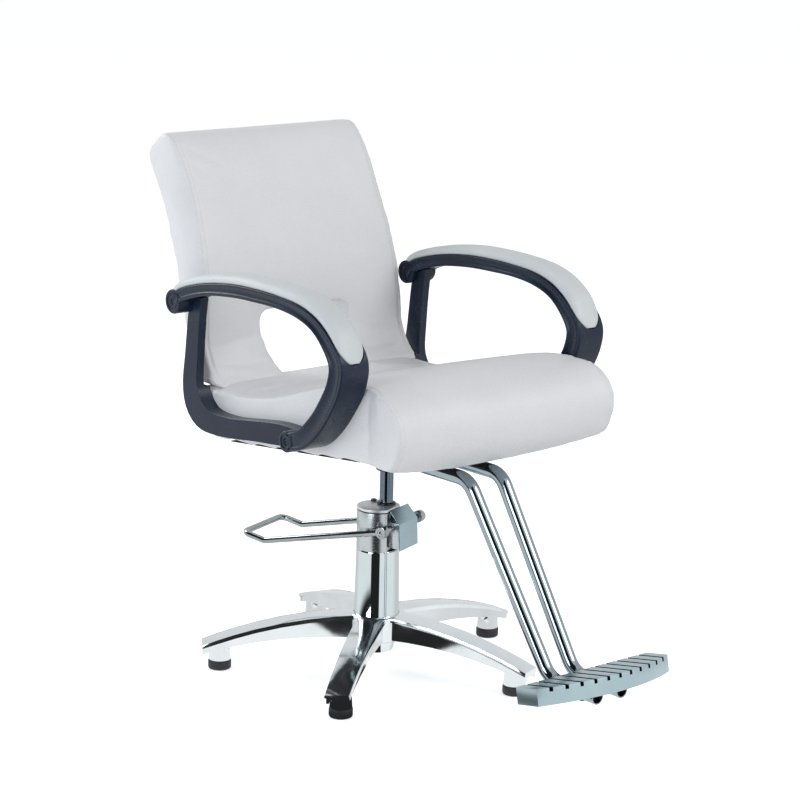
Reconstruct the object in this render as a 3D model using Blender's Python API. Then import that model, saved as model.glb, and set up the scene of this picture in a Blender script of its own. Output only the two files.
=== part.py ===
"""Hydraulic styling chair for a hair salon.

Frame: metres, +Z up, the sitter faces -Y, the glides stand on z = 0.  Everything is set out
from the swivel axis (the axis of the ram) and moved at the end, so that the origin is the
middle of the chair's footprint box on the floor.
"""
import math

import bmesh
import bpy
from mathutils import Matrix, Vector

GAP = 0.0003                    # clearance left between two pieces that touch
CUT = 0.004                     # how far a cutter reaches past the skin it opens

# star base, set out from the column axis
STAR_OFFSET = -0.018            # column axis, in X from the swivel axis
GLIDE_CIRCLE = 0.284            # radius through the five glides
LEG_COUNT = 5
FIRST_LEG = math.radians(2.28)
LEG_OVERHANG = 0.032            # leg tip beyond its glide
LEG_HALF_WIDTH = 0.027
LEG_TIP_HALF_WIDTH = 0.023
LEG_TOP_AT_HUB = 0.104
LEG_TOP_AT_TIP = 0.049
LEG_DEPTH_AT_HUB = 0.046
LEG_DEPTH_AT_TIP = 0.017
LEG_PLATE = 0.007
LEG_SKIRT = 0.005
GLIDE_RADIUS = 0.021
GLIDE_HEIGHT = 0.018
GLIDE_STEM_RADIUS = 0.005
GLIDE_STEM = 0.017
HUB_RADIUS = 0.051
HUB_BOTTOM = 0.034
COLUMN_SEAT = 0.093             # height at which the column stands in the hub

# pump column
COLUMN_BOTTOM_RADIUS = 0.0415
COLUMN_TOP_RADIUS = 0.039
COLUMN_WALL = 0.003
HEAD_BOTTOM = 0.225
HEAD_HEIGHT = 0.071
HEAD_RADIUS = 0.039
GASKET = 0.0014
CAP = 0.005
BOLT_RADIUS = 0.006
BOLT_HEAD_RADIUS = 0.0105
BOLT_HEAD = 0.008
WASHER = 0.0025
RESERVOIR_FLOOR = 0.008

# ram and its cylinder, on the swivel axis
RAM_RADIUS = 0.0125
CYLINDER_BORE = 0.0150
CYLINDER_WALL = 0.0022
CYLINDER_TOP = 0.256
GLAND_WALL = 0.004
RAM_BOTTOM = 0.150              # at the height the chair is shown
PISTON_HEIGHT = 0.012
PISTON_GROOVE = 0.0032
SEAL_WIDTH = 0.0045
WIPER_WALL = 0.0048
WIPER_HEIGHT = 0.003

# pump gear: X is forward from the swivel axis to the pedal pivot, Y along the pedal shaft
PUMP_YAW = math.radians(-69.6)
FLAT_X = 0.025                  # flat on the head that carries the pump block
PIVOT_X = 0.031
PIVOT_Z = 0.269
SHAFT_RADIUS = 0.005
COVER_HALF_WIDTH = 0.033
COVER_SHEET = 0.002
COVER_LINE = ((0.0265, 0.3005), (0.047, 0.277), (0.049, 0.228))
LUG = 0.005
LUG_HALF_WIDTH = 0.0315
BLOCK_BOTTOM = 0.231
BLOCK_CHANNEL_FLOOR = 0.252
PLUNGER_X = 0.0190
PLUNGER_Y = -0.0205
PLUNGER_RADIUS = 0.004
PLUNGER_HEAD_RADIUS = 0.0058
PLUNGER_BOTTOM = 0.237
PLUNGER_TOP = 0.2620
POCKET_FLOOR = 0.244
POCKET_HALF = 0.0068
SPRING_WIRE = 0.0006
SPRING_TURNS = 4
CLAMP_RADIUS = 0.011
CLAMP_LENGTH = 0.015
ARM_SPACING = 0.066             # pedal arm, half the distance between the two
ROD_RADIUS = 0.0058
PEDAL_BEND = (-0.217, 0.215)
PEDAL_END = (-0.262, 0.224)
PEDAL_CORNER = 0.014

# seat carrier: the underframe follows the raked underside of the seat
RAKE = math.atan(-0.1)
DATUM_Z = 0.434                 # underside of the seat on the swivel axis
SOCKET_RADIUS = 0.0205
SOCKET_BOTTOM = 0.366
PLATE = 0.005
PLATE_SIDE = 0.21
PLATE_BOLT_INSET = 0.018
DUST_COVER = 0.0015
RAIL_WIDTH = 0.032
RAIL_SHEET = 0.006
RAIL_CORNER = 0.026
RAIL_X = 0.183
BOARD = 0.015
BOARD_HALF_WIDTH = 0.231
BOARD_FRONT = -0.203
BOARD_REAR = 0.165
SIDE_RAIL_WIDTH = 0.026
SIDE_RAIL_HEIGHT = 0.040
SIDE_RAIL_FRONT = -0.050

# upholstery
SEAT_HALF_WIDTH = 0.250
SEAT_WAIST = 0.2395             # half width between the arms
SEAT_REAR_TOP = 0.5090
BELLY_BOTTOM = 0.4295           # lowest point of the seat's front roll
BELLY_GAP = 0.006               # wall left between the belly and the seat board
BACK_HALF_WIDTH_TOP = 0.218
BACK_HALF_WIDTH_LOW = 0.235
WINDOW_HALF_WIDTH = 0.102
WINDOW_TOP = 0.627
EDGE_ROUND = 0.012

# arms
ARM_INSIDE = 0.2402
ARM_WIDTH = 0.0593
POST_WIDTH = 0.028              # of the rail along the seat
UPRIGHT_RELIEF = 0.012          # the upright stands this much clear of the seat's side
UPRIGHT_FOOT = 0.512
PAD_INSET = 0.0035
ARM_BOLT_RADIUS = 0.004
ARM_BOLT_IN_ARM = 0.018
ARM_BOLT_IN_RAIL = 0.021

# arms in side view: (y, z, half thickness) along each piece, front to back
ARM_LINE = ((0.244, 0.666, 0.012), (0.215, 0.684, 0.0112), (0.150, 0.7015, 0.0108),
            (0.072, 0.7115, 0.0115), (0.000, 0.7135, 0.0115), (-0.060, 0.7118, 0.0110),
            (-0.115, 0.7050, 0.0120), (-0.160, 0.6890, 0.0130), (-0.195, 0.6610, 0.0150),
            (-0.2165, 0.6300, 0.0180), (-0.2125, 0.5960, 0.0180), (-0.195, 0.562, 0.0180),
            (-0.165, 0.5220, 0.0178), (-0.125, 0.4880, 0.0170), (-0.085, 0.4760, 0.0150))
POST_LINE = ((0.215, 0.679, 0.0165), (0.2225, 0.635, 0.0175), (0.2295, 0.565, 0.0190),
             (0.2335, 0.518, 0.0215), (0.2245, 0.4850, 0.0250), (0.202, 0.464, 0.0245),
             (0.168, 0.4555, 0.0200), (0.110, 0.4570, 0.0180), (0.048, 0.4650, 0.0180),
             (-0.025, 0.4730, 0.0190), (-0.086, 0.4765, 0.0150))
SCROLLS = ((0.244, 0.666, 0.022), (-0.086, 0.4765, 0.0185))
ARM_BOLTS = ((0.020, 0.4690), (0.120, 0.4570))
ARM_LINE_FRONT = min(y - half for y, _, half in ARM_LINE)

# footrest
TUBE_RADIUS = 0.0127
TUBE_BORE = 0.0107
TUBE_HALF_SPACING = 0.037
TUBE_HALF_SPACING_LOW = 0.028
TUBE_TOP = 0.4207               # just under the mounting plate, whatever the tube's size
TUBE_Z = TUBE_TOP - TUBE_RADIUS
TUBE_REAR = 0.060
TUBE_KNEE_Y = -0.262
TUBE_FOOT = (-0.469, 0.105)
TUBE_FRONT = -0.584
TUBE_BEND = 0.045
BRACKET_WALL = 0.006
BRACKET_LENGTH = 0.030
FOOTPLATE_HALF_WIDTH = 0.151
FOOTPLATE_REAR = -0.518
FOOTPLATE_DEPTH = 0.050         # at the ends
FOOTPLATE_BULGE = 0.040         # extra depth in the middle
FOOTPLATE_TOP = 0.130
FOOTPLATE_TILT = math.radians(11)
FOOTPLATE_HEIGHT = 0.029
GROOVES = 11
GROOVE_PITCH = 0.0258
GROOVE_WIDTH = 0.006
GROOVE_DEPTH = 0.007
FOOTPLATE_WALL = 0.005
SCREW_RADIUS = 0.003

# colour, roughness, metallic
CHROME = ((0.82, 0.83, 0.85), 0.06, 1.0)
CAST = ((0.76, 0.77, 0.78), 0.22, 1.0)
SATIN = ((0.62, 0.65, 0.66), 0.34, 1.0)
STEEL = ((0.42, 0.43, 0.45), 0.40, 1.0)
BLACK_STEEL = ((0.03, 0.03, 0.035), 0.45, 0.6)
BRASS = ((0.70, 0.55, 0.28), 0.30, 1.0)
RUBBER = ((0.02, 0.02, 0.02), 0.70, 0.0)
NYLON = ((0.03, 0.03, 0.03), 0.55, 0.0)
ARM_FINISH = ((0.035, 0.045, 0.075), 0.32, 0.0)
VINYL = ((0.78, 0.79, 0.80), 0.48, 0.0)
WOOD = ((0.50, 0.36, 0.22), 0.70, 0.0)
CLOTH = ((0.02, 0.02, 0.022), 0.90, 0.0)

for leftover in list(bpy.data.objects):
    bpy.data.objects.remove(leftover)


# ---------------------------------------------------------------- building helpers
def frame(name, parent=None, at=(0, 0, 0), turn=(0, 0, 0)):
    """An empty that carries pieces, on the axis they move about."""
    empty = bpy.data.objects.new(name, None)
    bpy.context.collection.objects.link(empty)
    empty.parent = parent
    empty.location = at
    empty.rotation_euler = turn
    return empty


def place(name, bm, parent, finish):
    """Make one closed object from a bmesh; no finish means that it is a cutter."""
    bmesh.ops.recalc_face_normals(bm, faces=bm.faces)
    mesh = bpy.data.meshes.new(name)
    bm.to_mesh(mesh)
    bm.free()
    piece = bpy.data.objects.new(name, mesh)
    bpy.context.collection.objects.link(piece)
    piece.parent = parent
    if finish is None:
        piece.hide_render = True
        piece.display_type = 'WIRE'
        return piece
    colour, roughness, metallic = finish
    material = bpy.data.materials.new(name)
    material.use_nodes = True
    shader = material.node_tree.nodes["Principled BSDF"]
    shader.inputs["Base Color"].default_value = (*colour, 1)
    shader.inputs["Roughness"].default_value = roughness
    shader.inputs["Metallic"].default_value = metallic
    mesh.materials.append(material)
    mesh.shade_smooth()
    mesh.set_sharp_from_angle(angle=math.radians(35))
    return piece


def lathe(name, profile, parent, finish, at=(0, 0), steps=24):
    """Turned piece: (radius, height) points, open at both ends only on the axis."""
    bm = bmesh.new()
    rings = []
    for radius, height in profile:
        count = steps if radius else 1
        turns = [math.tau * k / count for k in range(count)]
        rings.append([bm.verts.new((at[0] + radius * math.cos(t), at[1] + radius * math.sin(t),
                                    height)) for t in turns])
    spans = list(zip(rings, rings[1:]))
    if profile[0][0] and profile[-1][0]:
        spans.append((rings[-1], rings[0]))
    for low, high in spans:
        for k in range(steps):
            ring = (low[k % len(low)], low[(k + 1) % len(low)],
                    high[(k + 1) % len(high)], high[k % len(high)])
            bm.faces.new(dict.fromkeys(ring))
    return place(name, bm, parent, finish)


def ring(outer, inner, low, high):
    """Profile of a plain turned sleeve."""
    return [(outer, low), (outer, high), (inner, high), (inner, low)]


def disc(radius, low, high):
    """Profile of a plain turned disc."""
    return [(0, low), (radius, low), (radius, high), (0, high)]


def prism(name, outline, axis, low, high, parent, finish):
    """Outline extruded along an axis."""
    order = {"X": lambda u, v, w: (w, u, v), "Y": lambda u, v, w: (u, w, v),
             "Z": lambda u, v, w: (u, v, w)}[axis]
    bm = bmesh.new()
    ends = []
    for level in (low, high):
        ends.append([bm.verts.new(order(u, v, level)) for u, v in outline])
    bm.faces.new(ends[0])
    bm.faces.new(ends[1])
    for k in range(len(outline)):
        n = (k + 1) % len(outline)
        bm.faces.new((ends[0][k], ends[0][n], ends[1][n], ends[1][k]))
    return place(name, bm, parent, finish)


def box(name, low, high, parent, finish):
    """Plain box between two corners."""
    outline = [(low[0], low[1]), (high[0], low[1]), (high[0], high[1]), (low[0], high[1])]
    return prism(name, outline, "Z", low[2], high[2], parent, finish)


def sweep(name, path, radius, parent, finish, sides=12, bore=0.0):
    """Round bar or tube along a path of points, closed at both ends."""
    bm = bmesh.new()
    across = None
    rings = []
    for k, point in enumerate(path):
        ahead = (path[min(k + 1, len(path) - 1)] - path[max(k - 1, 0)]).normalized()
        if across is None:
            across = ahead.orthogonal().normalized()
        across = (across - ahead * across.dot(ahead)).normalized()
        side = ahead.cross(across)
        turns = [math.tau * n / sides for n in range(sides)]
        rings.append([[bm.verts.new(point + (across * math.cos(t) + side * math.sin(t)) * r)
                       for t in turns] for r in ((radius, bore) if bore else (radius,))])
    for skin in range(len(rings[0])):
        for low, high in zip(rings, rings[1:]):
            for n in range(sides):
                m = (n + 1) % sides
                bm.faces.new((low[skin][n], low[skin][m], high[skin][m], high[skin][n]))
    for end in (rings[0], rings[-1]):
        if not bore:
            bm.faces.new(end[0])
            continue
        for n in range(sides):
            m = (n + 1) % sides
            bm.faces.new((end[0][n], end[0][m], end[1][m], end[1][n]))
    return place(name, bm, parent, finish)


def carve(piece, cutter, operation='DIFFERENCE'):
    """Boolean of one piece with another object."""
    change = piece.modifiers.new(cutter.name, 'BOOLEAN')
    change.operation = operation
    change.solver = 'EXACT'
    change.object = cutter


def soften(piece, width, segments=2):
    """Round the hard edges."""
    change = piece.modifiers.new("soften", 'BEVEL')
    change.width = width
    change.segments = segments
    change.limit_method = 'ANGLE'
    change.angle_limit = math.radians(50)


def spline(points, spans=4):
    """Points of a smooth curve through the given ones (any number of values each)."""
    points = [Vector(p) for p in points]
    padded = [points[0] * 2 - points[1], *points, points[-1] * 2 - points[-2]]
    curve = []
    for a, b, c, d in zip(padded, padded[1:], padded[2:], padded[3:]):
        for k in range(spans):
            t = k / spans
            curve.append(0.5 * ((2 * b) + (c - a) * t + (2 * a - 5 * b + 4 * c - d) * t * t
                                + (3 * b - a - 3 * c + d) * t ** 3))
    return curve + [points[-1]]


def fillet(corners, radius, steps=4):
    """Path through the corners with each inner corner rounded to the radius."""
    corners = [Vector(c) for c in corners]
    path = [corners[0]]
    for before, corner, after in zip(corners, corners[1:], corners[2:]):
        back = (before - corner).normalized()
        onward = (after - corner).normalized()
        half = back.angle(onward) / 2
        reach = radius / math.tan(half)
        start, end = corner + back * reach, corner + onward * reach
        centre = corner + (back + onward).normalized() * (radius / math.sin(half))
        first, last = (start - centre).normalized(), (end - centre).normalized()
        for k in range(steps + 1):
            turn = first.slerp(last, k / steps)
            path.append(centre + turn * radius)
    return path + [corners[-1]]


def normals(points):
    """Left-hand unit normal at each point of an open 2D line."""
    result = []
    for k in range(len(points)):
        a, b = points[max(k - 1, 0)], points[min(k + 1, len(points) - 1)]
        ahead = (b - a).normalized()
        result.append(Vector((-ahead.y, ahead.x)))
    return result


def band(line, inner, outer):
    """Closed outline between two offsets of a line; each offset is a function of the index."""
    side = normals(line)
    left = [p + n * outer(k) for k, (p, n) in enumerate(zip(line, side))]
    right = [p + n * inner(k) for k, (p, n) in enumerate(zip(line, side))]
    return left + right[::-1]


def raked(y, height=0.0):
    """World height of a level in the raked seat underframe."""
    return DATUM_Z + math.tan(RAKE) * y + height / math.cos(RAKE)


# ---------------------------------------------------------------- star base and glides
def star_leg(number, base):
    """One arched leg, a channel open below, with its glide boss."""
    reach = GLIDE_CIRCLE + LEG_OVERHANG
    drop = LEG_TOP_AT_HUB - LEG_TOP_AT_TIP
    bm = bmesh.new()
    loops = []
    for radius in [reach * share for share in (0.10, 0.25, 0.4, 0.55, 0.7, 0.82, 0.92, 1.0)]:
        share = radius / reach
        top = LEG_TOP_AT_HUB - drop * share ** 2.2
        half = LEG_HALF_WIDTH + (LEG_TIP_HALF_WIDTH - LEG_HALF_WIDTH) * share
        depth = LEG_DEPTH_AT_HUB + (LEG_DEPTH_AT_TIP - LEG_DEPTH_AT_HUB) * share
        lip = half - LEG_SKIRT * 0.8
        section = [(-half, top - LEG_PLATE), (-half + 0.002, top), (half - 0.002, top),
                   (half, top - LEG_PLATE), (lip, top - LEG_PLATE - 0.001), (lip, top - depth),
                   (lip - LEG_SKIRT, top - depth), (lip - LEG_SKIRT, top - LEG_PLATE - 0.003),
                   (LEG_SKIRT - lip, top - LEG_PLATE - 0.003), (LEG_SKIRT - lip, top - depth),
                   (-lip, top - depth), (-lip, top - LEG_PLATE - 0.001)]
        loops.append([bm.verts.new((radius, y, z)) for y, z in section])
    for low, high in zip(loops, loops[1:]):
        for k in range(len(low)):
            n = (k + 1) % len(low)
            bm.faces.new((low[k], low[n], high[n], high[k]))
    bm.faces.new(loops[0])
    bm.faces.new(loops[-1])
    turn = FIRST_LEG + math.tau * number / LEG_COUNT
    bm.transform(Matrix.Rotation(turn, 4, 'Z'))
    return place(f"leg_form_{number + 1}", bm, base, None)


def glide_place(number):
    """Centre of a glide in the star's frame."""
    turn = FIRST_LEG + math.tau * number / LEG_COUNT
    return (GLIDE_CIRCLE * math.cos(turn), GLIDE_CIRCLE * math.sin(turn))


def star(base):
    """Die-cast star: hub, five legs, glide bosses, the column's seat and the bolt hole."""
    profile = [(0, HUB_BOTTOM), (0.030, HUB_BOTTOM), (0.036, HUB_BOTTOM + 0.018),
               (HUB_RADIUS, HUB_BOTTOM + 0.026), (HUB_RADIUS, LEG_TOP_AT_HUB - 0.002),
               (HUB_RADIUS - 0.002, LEG_TOP_AT_HUB), (0, LEG_TOP_AT_HUB)]
    casting = lathe("star_base", profile, base, CAST, steps=32)
    boss_top = LEG_TOP_AT_TIP
    boss_low = GLIDE_HEIGHT + GAP
    for number in range(LEG_COUNT):
        carve(casting, star_leg(number, base), 'UNION')
        boss = [(0, boss_low), (GLIDE_RADIUS - 0.001, boss_low),
                (GLIDE_RADIUS - 0.003, boss_top), (0, boss_top)]
        carve(casting, lathe(f"boss_form_{number + 1}", boss, base, None,
                             at=glide_place(number), steps=20), 'UNION')
    for number in range(LEG_COUNT):
        bore = disc(GLIDE_STEM_RADIUS + GAP, boss_low - CUT, GLIDE_HEIGHT + GLIDE_STEM + GAP)
        carve(casting, lathe(f"stem_bore_{number + 1}", bore, base, None,
                             at=glide_place(number), steps=12))
    seat = disc(COLUMN_BOTTOM_RADIUS + GAP, COLUMN_SEAT, LEG_TOP_AT_HUB + CUT)
    bolt = disc(BOLT_RADIUS + GAP, HUB_BOTTOM - CUT, COLUMN_SEAT + CUT)
    counterbore = disc(BOLT_HEAD_RADIUS * 1.6, HUB_BOTTOM - CUT,
                       HUB_BOTTOM + BOLT_HEAD + WASHER)
    for name, profile in (("column_seat", seat), ("bolt_bore", bolt),
                          ("counterbore", counterbore)):
        carve(casting, lathe(name, profile, base, None, steps=32))


def glide(number, base):
    """Black foot with its stem, pushed into the leg's boss."""
    profile = [(0, 0), (GLIDE_RADIUS - 0.005, 0), (GLIDE_RADIUS, 0.006),
               (GLIDE_RADIUS, GLIDE_HEIGHT), (GLIDE_STEM_RADIUS, GLIDE_HEIGHT),
               (GLIDE_STEM_RADIUS, GLIDE_HEIGHT + GLIDE_STEM), (0, GLIDE_HEIGHT + GLIDE_STEM)]
    lathe(f"glide_{number + 1}", profile, base, NYLON, at=glide_place(number), steps=20)


# ---------------------------------------------------------------- column and cylinder
def column_radius(height):
    """Outer radius of the tapered column tube at a height."""
    share = (height - COLUMN_SEAT) / (HEAD_BOTTOM - COLUMN_SEAT)
    return COLUMN_BOTTOM_RADIUS + (COLUMN_TOP_RADIUS - COLUMN_BOTTOM_RADIUS) * share


def column(base):
    """Outer tube, its floor and the bolt that holds it down on the star."""
    low, high = COLUMN_SEAT + GAP, HEAD_BOTTOM - GAP
    lathe("column_tube", [(column_radius(low), low), (column_radius(high), high),
                          (column_radius(high) - COLUMN_WALL, high),
                          (column_radius(low) - COLUMN_WALL, low)], base, CHROME, steps=32)
    floor_radius = column_radius(low + RESERVOIR_FLOOR) - COLUMN_WALL - GAP
    lathe("reservoir_floor", ring(floor_radius, BOLT_RADIUS + GAP, low, low + RESERVOIR_FLOOR),
          base, STEEL)
    washer_low = HUB_BOTTOM + BOLT_HEAD
    lathe("base_washer", ring(BOLT_HEAD_RADIUS * 1.35, BOLT_RADIUS + GAP, washer_low,
                              washer_low + WASHER - GAP), base, STEEL, steps=24)
    bolt = [(0, HUB_BOTTOM), (BOLT_HEAD_RADIUS, HUB_BOTTOM),
            (BOLT_HEAD_RADIUS, washer_low - GAP), (BOLT_RADIUS, washer_low - GAP),
            (BOLT_RADIUS, low + RESERVOIR_FLOOR - 0.001), (0, low + RESERVOIR_FLOOR - 0.001)]
    lathe("base_bolt", bolt, base, STEEL, steps=6)


def cylinder(ram_base):
    """Pressure cylinder that the piston runs in, standing on the reservoir floor."""
    low = COLUMN_SEAT + GAP + RESERVOIR_FLOOR + GAP
    lathe("pressure_cylinder", ring(CYLINDER_BORE + CYLINDER_WALL, CYLINDER_BORE, low,
                                    CYLINDER_TOP), ram_base, STEEL)


def pump_head(base, pump, ram_base):
    """Head casting, its gasket and cap, all cut flat for the pump block."""
    top = HEAD_BOTTOM + HEAD_HEIGHT
    cap_low = top + GAP + GASKET + GAP
    head = lathe("pump_head", disc(HEAD_RADIUS, HEAD_BOTTOM, top), base, SATIN, steps=32)
    gasket = lathe("head_gasket", disc(HEAD_RADIUS - 0.0008, top + GAP, top + GAP + GASKET),
                   base, RUBBER, steps=32)
    cap = lathe("head_cap", disc(HEAD_RADIUS, cap_low, cap_low + CAP), base, SATIN, steps=32)
    reach = HEAD_RADIUS - STAR_OFFSET + CUT
    flat = box("head_flat", (FLAT_X, -reach, HEAD_BOTTOM - CUT),
               (FLAT_X + reach, reach, cap_low + CAP + CUT), pump, None)
    through = lathe("ram_hole", disc(RAM_RADIUS + 2 * GAP, CYLINDER_TOP, cap_low + CAP + CUT),
                    ram_base, None)
    gland_bore = lathe("gland_bore", disc(RAM_RADIUS + GLAND_WALL + 2 * GAP, CYLINDER_TOP - CUT,
                                          top + CUT), ram_base, None)
    cylinder_bore = lathe("cylinder_bore", disc(CYLINDER_BORE + CYLINDER_WALL + GAP,
                                                HEAD_BOTTOM - CUT, CYLINDER_TOP + GAP),
                          ram_base, None)
    pocket = box("plunger_pocket", (PLUNGER_X - POCKET_HALF, PLUNGER_Y - POCKET_HALF,
                                    POCKET_FLOOR),
                 (FLAT_X + CUT, PLUNGER_Y + POCKET_HALF, top + CUT), pump, None)
    bore = lathe("plunger_bore", disc(PLUNGER_RADIUS + GAP, PLUNGER_BOTTOM - 0.006,
                                      POCKET_FLOOR + CUT), pump, None,
                 at=(PLUNGER_X, PLUNGER_Y), steps=16)
    for cutter in (flat, gland_bore, cylinder_bore, pocket, bore):
        carve(head, cutter)
    for piece in (gasket, cap):
        carve(piece, flat)
        carve(piece, through)
    lathe("ram_gland", ring(RAM_RADIUS + GLAND_WALL + GAP, RAM_RADIUS + GAP,
                            CYLINDER_TOP + 2 * GAP, top), ram_base, BRASS)
    wiper_low = cap_low + CAP + GAP
    lathe("ram_wiper", [(RAM_RADIUS + WIPER_WALL, wiper_low),
                        (RAM_RADIUS + WIPER_WALL - 0.001, wiper_low + WIPER_HEIGHT),
                        (RAM_RADIUS + GAP, wiper_low + WIPER_HEIGHT),
                        (RAM_RADIUS + GAP, wiper_low)], ram_base, RUBBER)
    screw_low = cap_low + CAP + GAP
    lathe("filler_screw", [(0, screw_low), (0.0055, screw_low), (0.0055, screw_low + 0.0022),
                           (0.0042, screw_low + 0.0032), (0, screw_low + 0.0032)],
          base, BLACK_STEEL, at=(0.012, 0.028), steps=16)


# ---------------------------------------------------------------- pump gear and pedal
def cover_offset(distance):
    """The cover's outline moved inwards by a distance."""
    line = [Vector(p) for p in COVER_LINE]
    first = (line[1] - line[0]).normalized()
    second = (line[2] - line[1]).normalized()
    inward = [Vector((first.y, -first.x)), Vector((second.y, -second.x))]
    mitre = (inward[0] + inward[1]).normalized()
    stretch = distance / mitre.dot(inward[0])
    return [line[0] + inward[0] * distance, line[1] + mitre * stretch,
            line[2] + inward[1] * distance]


def pump_block(pump):
    """Casting bolted to the flat of the head, with two lugs that carry the pedal shaft."""
    _, knee, foot = cover_offset(COVER_SHEET + GAP)
    top = PIVOT_Z + SHAFT_RADIUS + 0.0045
    start = cover_offset(COVER_SHEET + GAP)[0]
    share = (top - knee.y) / (start.y - knee.y)
    brow = knee.x + (start.x - knee.x) * share
    base_x = foot.x + (knee.x - foot.x) * (BLOCK_BOTTOM - foot.y) / (knee.y - foot.y)
    outline = [(FLAT_X + GAP, BLOCK_BOTTOM), (base_x, BLOCK_BOTTOM), tuple(knee), (brow, top),
               (FLAT_X + GAP, top)]
    block = prism("pump_block", [(x, z) for x, z in outline], "Y", -LUG_HALF_WIDTH,
                  LUG_HALF_WIDTH, pump, SATIN)
    channel = LUG_HALF_WIDTH - LUG
    carve(block, box("block_channel", (FLAT_X - CUT, -channel, BLOCK_CHANNEL_FLOOR),
                     (foot.x + CUT, channel, top + CUT), pump, None))
    carve(block, sweep("shaft_bore", [Vector((PIVOT_X, -LUG_HALF_WIDTH - CUT, PIVOT_Z)),
                                      Vector((PIVOT_X, LUG_HALF_WIDTH + CUT, PIVOT_Z))],
                       SHAFT_RADIUS + GAP, pump, None, sides=16))


def pump_cover(pump):
    """Folded sheet that closes the front of the pump."""
    outline = [Vector(p) for p in COVER_LINE] + cover_offset(COVER_SHEET)[::-1]
    prism("pump_cover", [tuple(p) for p in outline], "Y", -COVER_HALF_WIDTH, COVER_HALF_WIDTH,
          pump, SATIN)


def plunger(pump):
    """Small pump plunger with its return spring, under the finger of the pedal shaft."""
    head_low = PLUNGER_TOP - 0.003
    profile = [(0, PLUNGER_BOTTOM), (PLUNGER_RADIUS, PLUNGER_BOTTOM),
               (PLUNGER_RADIUS, head_low), (PLUNGER_HEAD_RADIUS, head_low),
               (PLUNGER_HEAD_RADIUS, PLUNGER_TOP), (0, PLUNGER_TOP)]
    axis = frame("plunger_axis", pump, at=(PLUNGER_X, PLUNGER_Y, 0))
    lathe("pump_plunger", profile, axis, STEEL, steps=16)
    coil = PLUNGER_RADIUS + GAP + SPRING_WIRE
    low = POCKET_FLOOR + GAP + SPRING_WIRE
    high = head_low - GAP - SPRING_WIRE
    count = 12 * SPRING_TURNS
    wire = [Vector((coil * math.cos(math.tau * k / 12), coil * math.sin(math.tau * k / 12),
                    low + (high - low) * k / count)) for k in range(count + 1)]
    sweep("plunger_spring", wire, SPRING_WIRE, axis, STEEL, sides=6)


def pedal(pump):
    """Foot lever: bent rod, two clamps, the shaft and the finger that works the plunger."""
    pivot = frame("pedal_axis", pump, at=(PIVOT_X, 0, PIVOT_Z))
    clamp_inner = ARM_SPACING - CLAMP_LENGTH / 2
    shaft_end = ARM_SPACING + CLAMP_LENGTH / 2 - 0.004
    sweep("pedal_shaft", [Vector((0, -shaft_end, 0)), Vector((0, shaft_end, 0))], SHAFT_RADIUS,
          pivot, STEEL, sides=16)
    for side, name in ((-1, "pedal_clamp_near"), (1, "pedal_clamp_far")):
        clamp = sweep(name, [Vector((0, side * clamp_inner, 0)),
                             Vector((0, side * (clamp_inner + CLAMP_LENGTH), 0))],
                      CLAMP_RADIUS, pivot, CHROME, sides=16)
        carve(clamp, sweep(name + "_bore", [Vector((0, side * (clamp_inner - CUT), 0)),
                                            Vector((0, side * (shaft_end + GAP), 0))],
                           SHAFT_RADIUS + GAP, pivot, None, sides=16))
    finger_width = 0.007
    turn = [math.radians(a) for a in range(-150, 151, 30)]
    ring_radius = SHAFT_RADIUS + 0.003
    finger_low = PLUNGER_TOP + GAP - PIVOT_Z
    finger_tip = PLUNGER_X - PIVOT_X - 0.004
    outline = [(ring_radius * math.cos(a), ring_radius * math.sin(a)) for a in turn]
    outline += [(finger_tip + 0.003, 0.003), (finger_tip, 0.0), (finger_tip, finger_low),
                (-0.006, finger_low)]
    finger = prism("pump_finger", outline, "Y", PLUNGER_Y - finger_width / 2,
                   PLUNGER_Y + finger_width / 2, pivot, STEEL)
    carve(finger, sweep("finger_bore", [Vector((0, PLUNGER_Y - finger_width, 0)),
                                        Vector((0, PLUNGER_Y + finger_width, 0))],
                        SHAFT_RADIUS + GAP, pivot, None, sides=16))
    bend = Vector((PEDAL_BEND[0] - PIVOT_X, 0, PEDAL_BEND[1] - PIVOT_Z))
    end = Vector((PEDAL_END[0] - PIVOT_X, 0, PEDAL_END[1] - PIVOT_Z))
    start = bend.normalized() * (CLAMP_RADIUS + GAP)
    half = [start, bend, end]
    corners = [p + Vector((0, -ARM_SPACING, 0)) for p in half]
    corners += [p + Vector((0, ARM_SPACING, 0)) for p in half[::-1]]
    sweep("pedal_lever", fillet(corners, PEDAL_CORNER, steps=3), ROD_RADIUS, pivot, CHROME,
          sides=12)


# ---------------------------------------------------------------- piston, ram and carrier
def piston(lift):
    """Piston and its seal: they slide in the cylinder and carry the turning ram."""
    high = RAM_BOTTOM - GAP
    low = high - PISTON_HEIGHT
    wall = CYLINDER_BORE - GAP
    neck = wall - PISTON_GROOVE
    seal_low = low + (PISTON_HEIGHT - SEAL_WIDTH) / 2
    lathe("piston", [(0, low), (wall, low), (wall, seal_low), (neck, seal_low),
                     (neck, seal_low + SEAL_WIDTH), (wall, seal_low + SEAL_WIDTH),
                     (wall, high), (0, high)], lift, STEEL)
    lathe("piston_seal", ring(wall, neck + GAP, seal_low + GAP, seal_low + SEAL_WIDTH - GAP),
          lift, RUBBER)


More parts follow.
